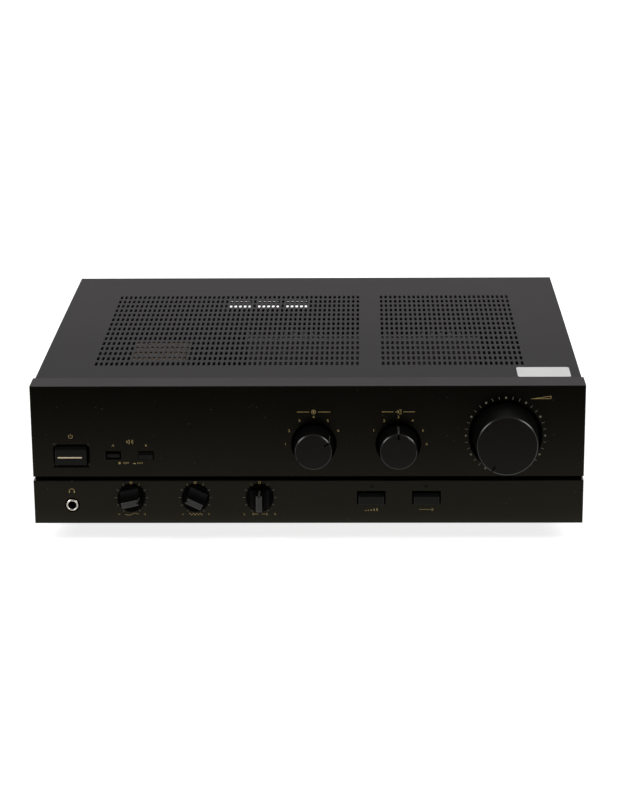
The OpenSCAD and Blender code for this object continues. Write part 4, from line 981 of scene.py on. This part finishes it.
# Insulating card inside the case, between the mains entry and the boards, dark as painted shade over the
# open cord entry

CARD_W, CARD_TOP, CARD_T, CARD_FOOT, CARD_BEHIND = 52.0, 78.0, 0.6, 12.0, 30.0
BASE_T = 1.2


def mains_shade_card():
    """Sheet of pressed card folded once: a foot on the base and a wall in front of the cord's entry, whose
    dark face is painted shade where the slots would look through the open entry. The folded section of (y,
    z) rows is carried along x."""
    x, y = middle("cord_gland")[X], REAR_Y - CARD_BEHIND
    floor = corners("chassis_base")[LOW][Z] + BASE_T
    section = np.array([(y - CARD_FOOT, floor), (y, floor), (y, CARD_TOP), (y - CARD_T, CARD_TOP),
                        (y - CARD_T, floor + CARD_T), (y - CARD_FOOT, floor + CARD_T)])
    ends = [np.insert(section, 0, x + side * CARD_W / 2, axis=1) for side in (1, -1)]
    shape = Shape(upright)
    shape.grid(np.stack(ends), wrap_v=True, lids=True)
    shape.piece("mains_shade_card", "card")


mains_shade_card()


# Paper label on the cover

LABEL_X, LABEL_Y = (160.5, 201.0), (26.0, 51.5)  # its edges, y counted from the fascia's face
LABEL_ROUND, LABEL_T, LABEL_SUNK, ROUND_POINTS = 2.0, 0.15, 0.03, 7
FRONT_REACH, FOLD_REACH = 0.01, (30, 37)  # how far behind its front edge the cover's first strip lies


def cover_label():
    """Plain label with round corners that lies along the cover's first flat strip, behind the fascia, and
    follows the slope between the strip's front edge and its fold."""
    (x0, x1), (y0, y1), r = LABEL_X, LABEL_Y, LABEL_ROUND
    edge = corners("top_cover")[LOW][Y]
    points = vertices(nodes["top_cover"].data) / MM
    depth = points[:, Y] - edge
    front_z = points[np.abs(depth) < FRONT_REACH][:, Z].max()
    fold = points[(depth > FOLD_REACH[0]) & (depth < FOLD_REACH[1])]
    slope = (fold[:, Z].max() - front_z) / (fold[:, Y].mean() - edge)
    rounds = [(x1 - r, y1 - r, 0), (x1 - r, y0 + r, 90), (x0 + r, y0 + r, 180), (x0 + r, y1 - r, 270)]
    corner_arcs = [arc(x, y, r, start, start + 90, ROUND_POINTS) for x, y, start in rounds]
    outline = np.concatenate(corner_arcs)[::-1]
    outline[:, 1] += FACE_Y
    shape = Shape(upright)
    shape.pad(outline, 0, LABEL_T)
    sheet = shape.points[0]
    sheet[:, Z] += front_z + slope * (sheet[:, Y] - edge) - LABEL_SUNK
    shape.piece("cover_label", "paper")


cover_label()


# Camera, floor and light

CAMERA = np.array([41.69, FACE_Y - 1682.36, 629.23])
PITCH, YAW, ROLL = math.radians(17.06), math.radians(-1.37), math.radians(-0.51)
LENS, SENSOR = 104.95, 36.0
NEAREST, FARTHEST = 0.05, 50

# Each lamp's place, the point that it is turned to, its width and height, and its watts.
LAMPS = {
    "left_box": ((-1.5, -0.55, 1.1), (0, 0, 0.08), (0.7, 0.9), 17),
    "right_box": ((1.55, -0.5, 1.15), (0, 0, 0.08), (0.7, 0.9), 18),
    "top_box": ((0.0, 0.75, 1.8), (0, 0.1, 0.1), (1.6, 1.0), 11),
}


def stand(name, data, right, up, back, at):
    """Camera or lamp with these three axes, at a point in metres."""
    obj = new_object(name, data)
    world = np.eye(4)
    world[:3] = np.column_stack([right, up, back, at])
    obj.matrix_world = Matrix(world.tolist())
    return obj


def set_camera():
    """Camera of the photograph: yaw about the vertical, pitch down, then roll about the line of sight."""
    data = bpy.data.cameras.new("camera")
    data.sensor_fit, data.sensor_height, data.lens = "VERTICAL", SENSOR, LENS
    data.clip_start, data.clip_end = NEAREST, FARTHEST
    level = math.cos(PITCH)
    ahead = np.array([math.sin(YAW) * level, math.cos(YAW) * level, -math.sin(PITCH)])
    right = np.array([math.cos(YAW), -math.sin(YAW), 0])
    up = np.cross(right, ahead)
    c, s = math.cos(ROLL), math.sin(ROLL)
    bpy.context.scene.camera = stand("camera", data, c * right + s * up, c * up - s * right, -ahead,
                                     CAMERA * MM)


def set_world():
    """White behind the object, to the eye and in reflections, which darken towards the viewer's side,
    and a dim even light otherwise."""
    dim, dark, front, rear = 0.25, 0.03, -0.45, 0.25
    world = bpy.data.worlds.new("studio")
    bpy.context.scene.world = world
    world.use_nodes = True
    net = Net(world.node_tree)
    eye, mirrored = net.rays("Camera"), net.rays("Glossy", "Transmission")
    towards = net.node("ShaderNodeTexCoord", out="Generated")
    depth = net.node("ShaderNodeSeparateXYZ", {}, {0: towards}, out=Y)
    background = net.tree.nodes["Background"]
    background.inputs["Color"].default_value = (1, 1, 1, 1)
    net.fill(background.inputs["Strength"],
             dim + (1 - dim) * eye + mirrored * (net.ease(depth, front, rear, dark, 1.0) - dim))


def set_floor():
    """Pale floor that keeps a soft shadow: its own light is added where the background is seen. In
    reflections it shines behind the object and in a low strip at the fascia's foot, and darkens from there
    towards the viewer."""
    reach, pale, face = 6.0, (0.55, 0.55, 0.55), FACE_Y * MM
    glow, distant, close, remote = 0.8, 1.0, 0.5, 1.4
    mirror, behind_reach = 0.7, 0.3
    foot_glow, foot_start, foot_end = 0.4, face - 0.062, face - 0.036
    shade_glow, near, far = 0.01, face - 0.08, face - 0.42
    mesh = bpy.data.meshes.new("floor")
    mesh.from_pydata([(reach * x, reach * y, 0) for x, y in SQUARE.tolist()], [], [(0, 1, 2, 3)])
    f = Finish("floor", colour=pale, rough=0.9, gloss=0.0)
    eye, mirrored, y = f.rays("Camera"), f.rays("Glossy", "Transmission"), f.axis(Y)
    away = f.node("ShaderNodeVectorMath", {"operation": "LENGTH"}, {0: f.place()}, out="Value")
    beyond = f.ease(y, 0.0, behind_reach)
    foot = f.ease(y, foot_start, foot_end, 0.0, foot_glow)
    seen_light = eye * f.ease(away, close, remote, glow, distant)
    mirrored_light = mirrored * (mirror * beyond + foot * (1 - beyond))
    light = f.node("ShaderNodeEmission", {}, {"Strength": seen_light + mirrored_light})
    lit = f.node("ShaderNodeAddShader", {}, {0: Value(f, f.shader.outputs[0]), 1: light})
    shade = f.node("ShaderNodeEmission", {}, {"Strength": shade_glow})
    surface = f.node("ShaderNodeMixShader", {}, {0: mirrored * f.ease(y, near, far), 1: lit, 2: shade})
    f.tree.links.new(surface.socket, f.tree.nodes["Material Output"].inputs["Surface"])
    mesh.materials.append(f.material)
    new_object("floor", mesh)


def softbox(name, at, towards, size, power):
    """Rectangular lamp at a point, turned to another, both in metres."""
    data = bpy.data.lights.new(name, "AREA")
    data.shape, data.energy = "RECTANGLE", power
    data.size, data.size_y = size
    away = np.array(at, float) - np.array(towards, float)
    away /= np.linalg.norm(away)
    side = np.cross((0, 0, 1), away)
    side /= np.linalg.norm(side)
    stand(name, data, side, np.cross(away, side), away, at)


set_camera()
set_world()
set_floor()
for name, lamp in LAMPS.items():
    softbox(name, *lamp)
bpy.context.scene.view_settings.view_transform = "Standard"
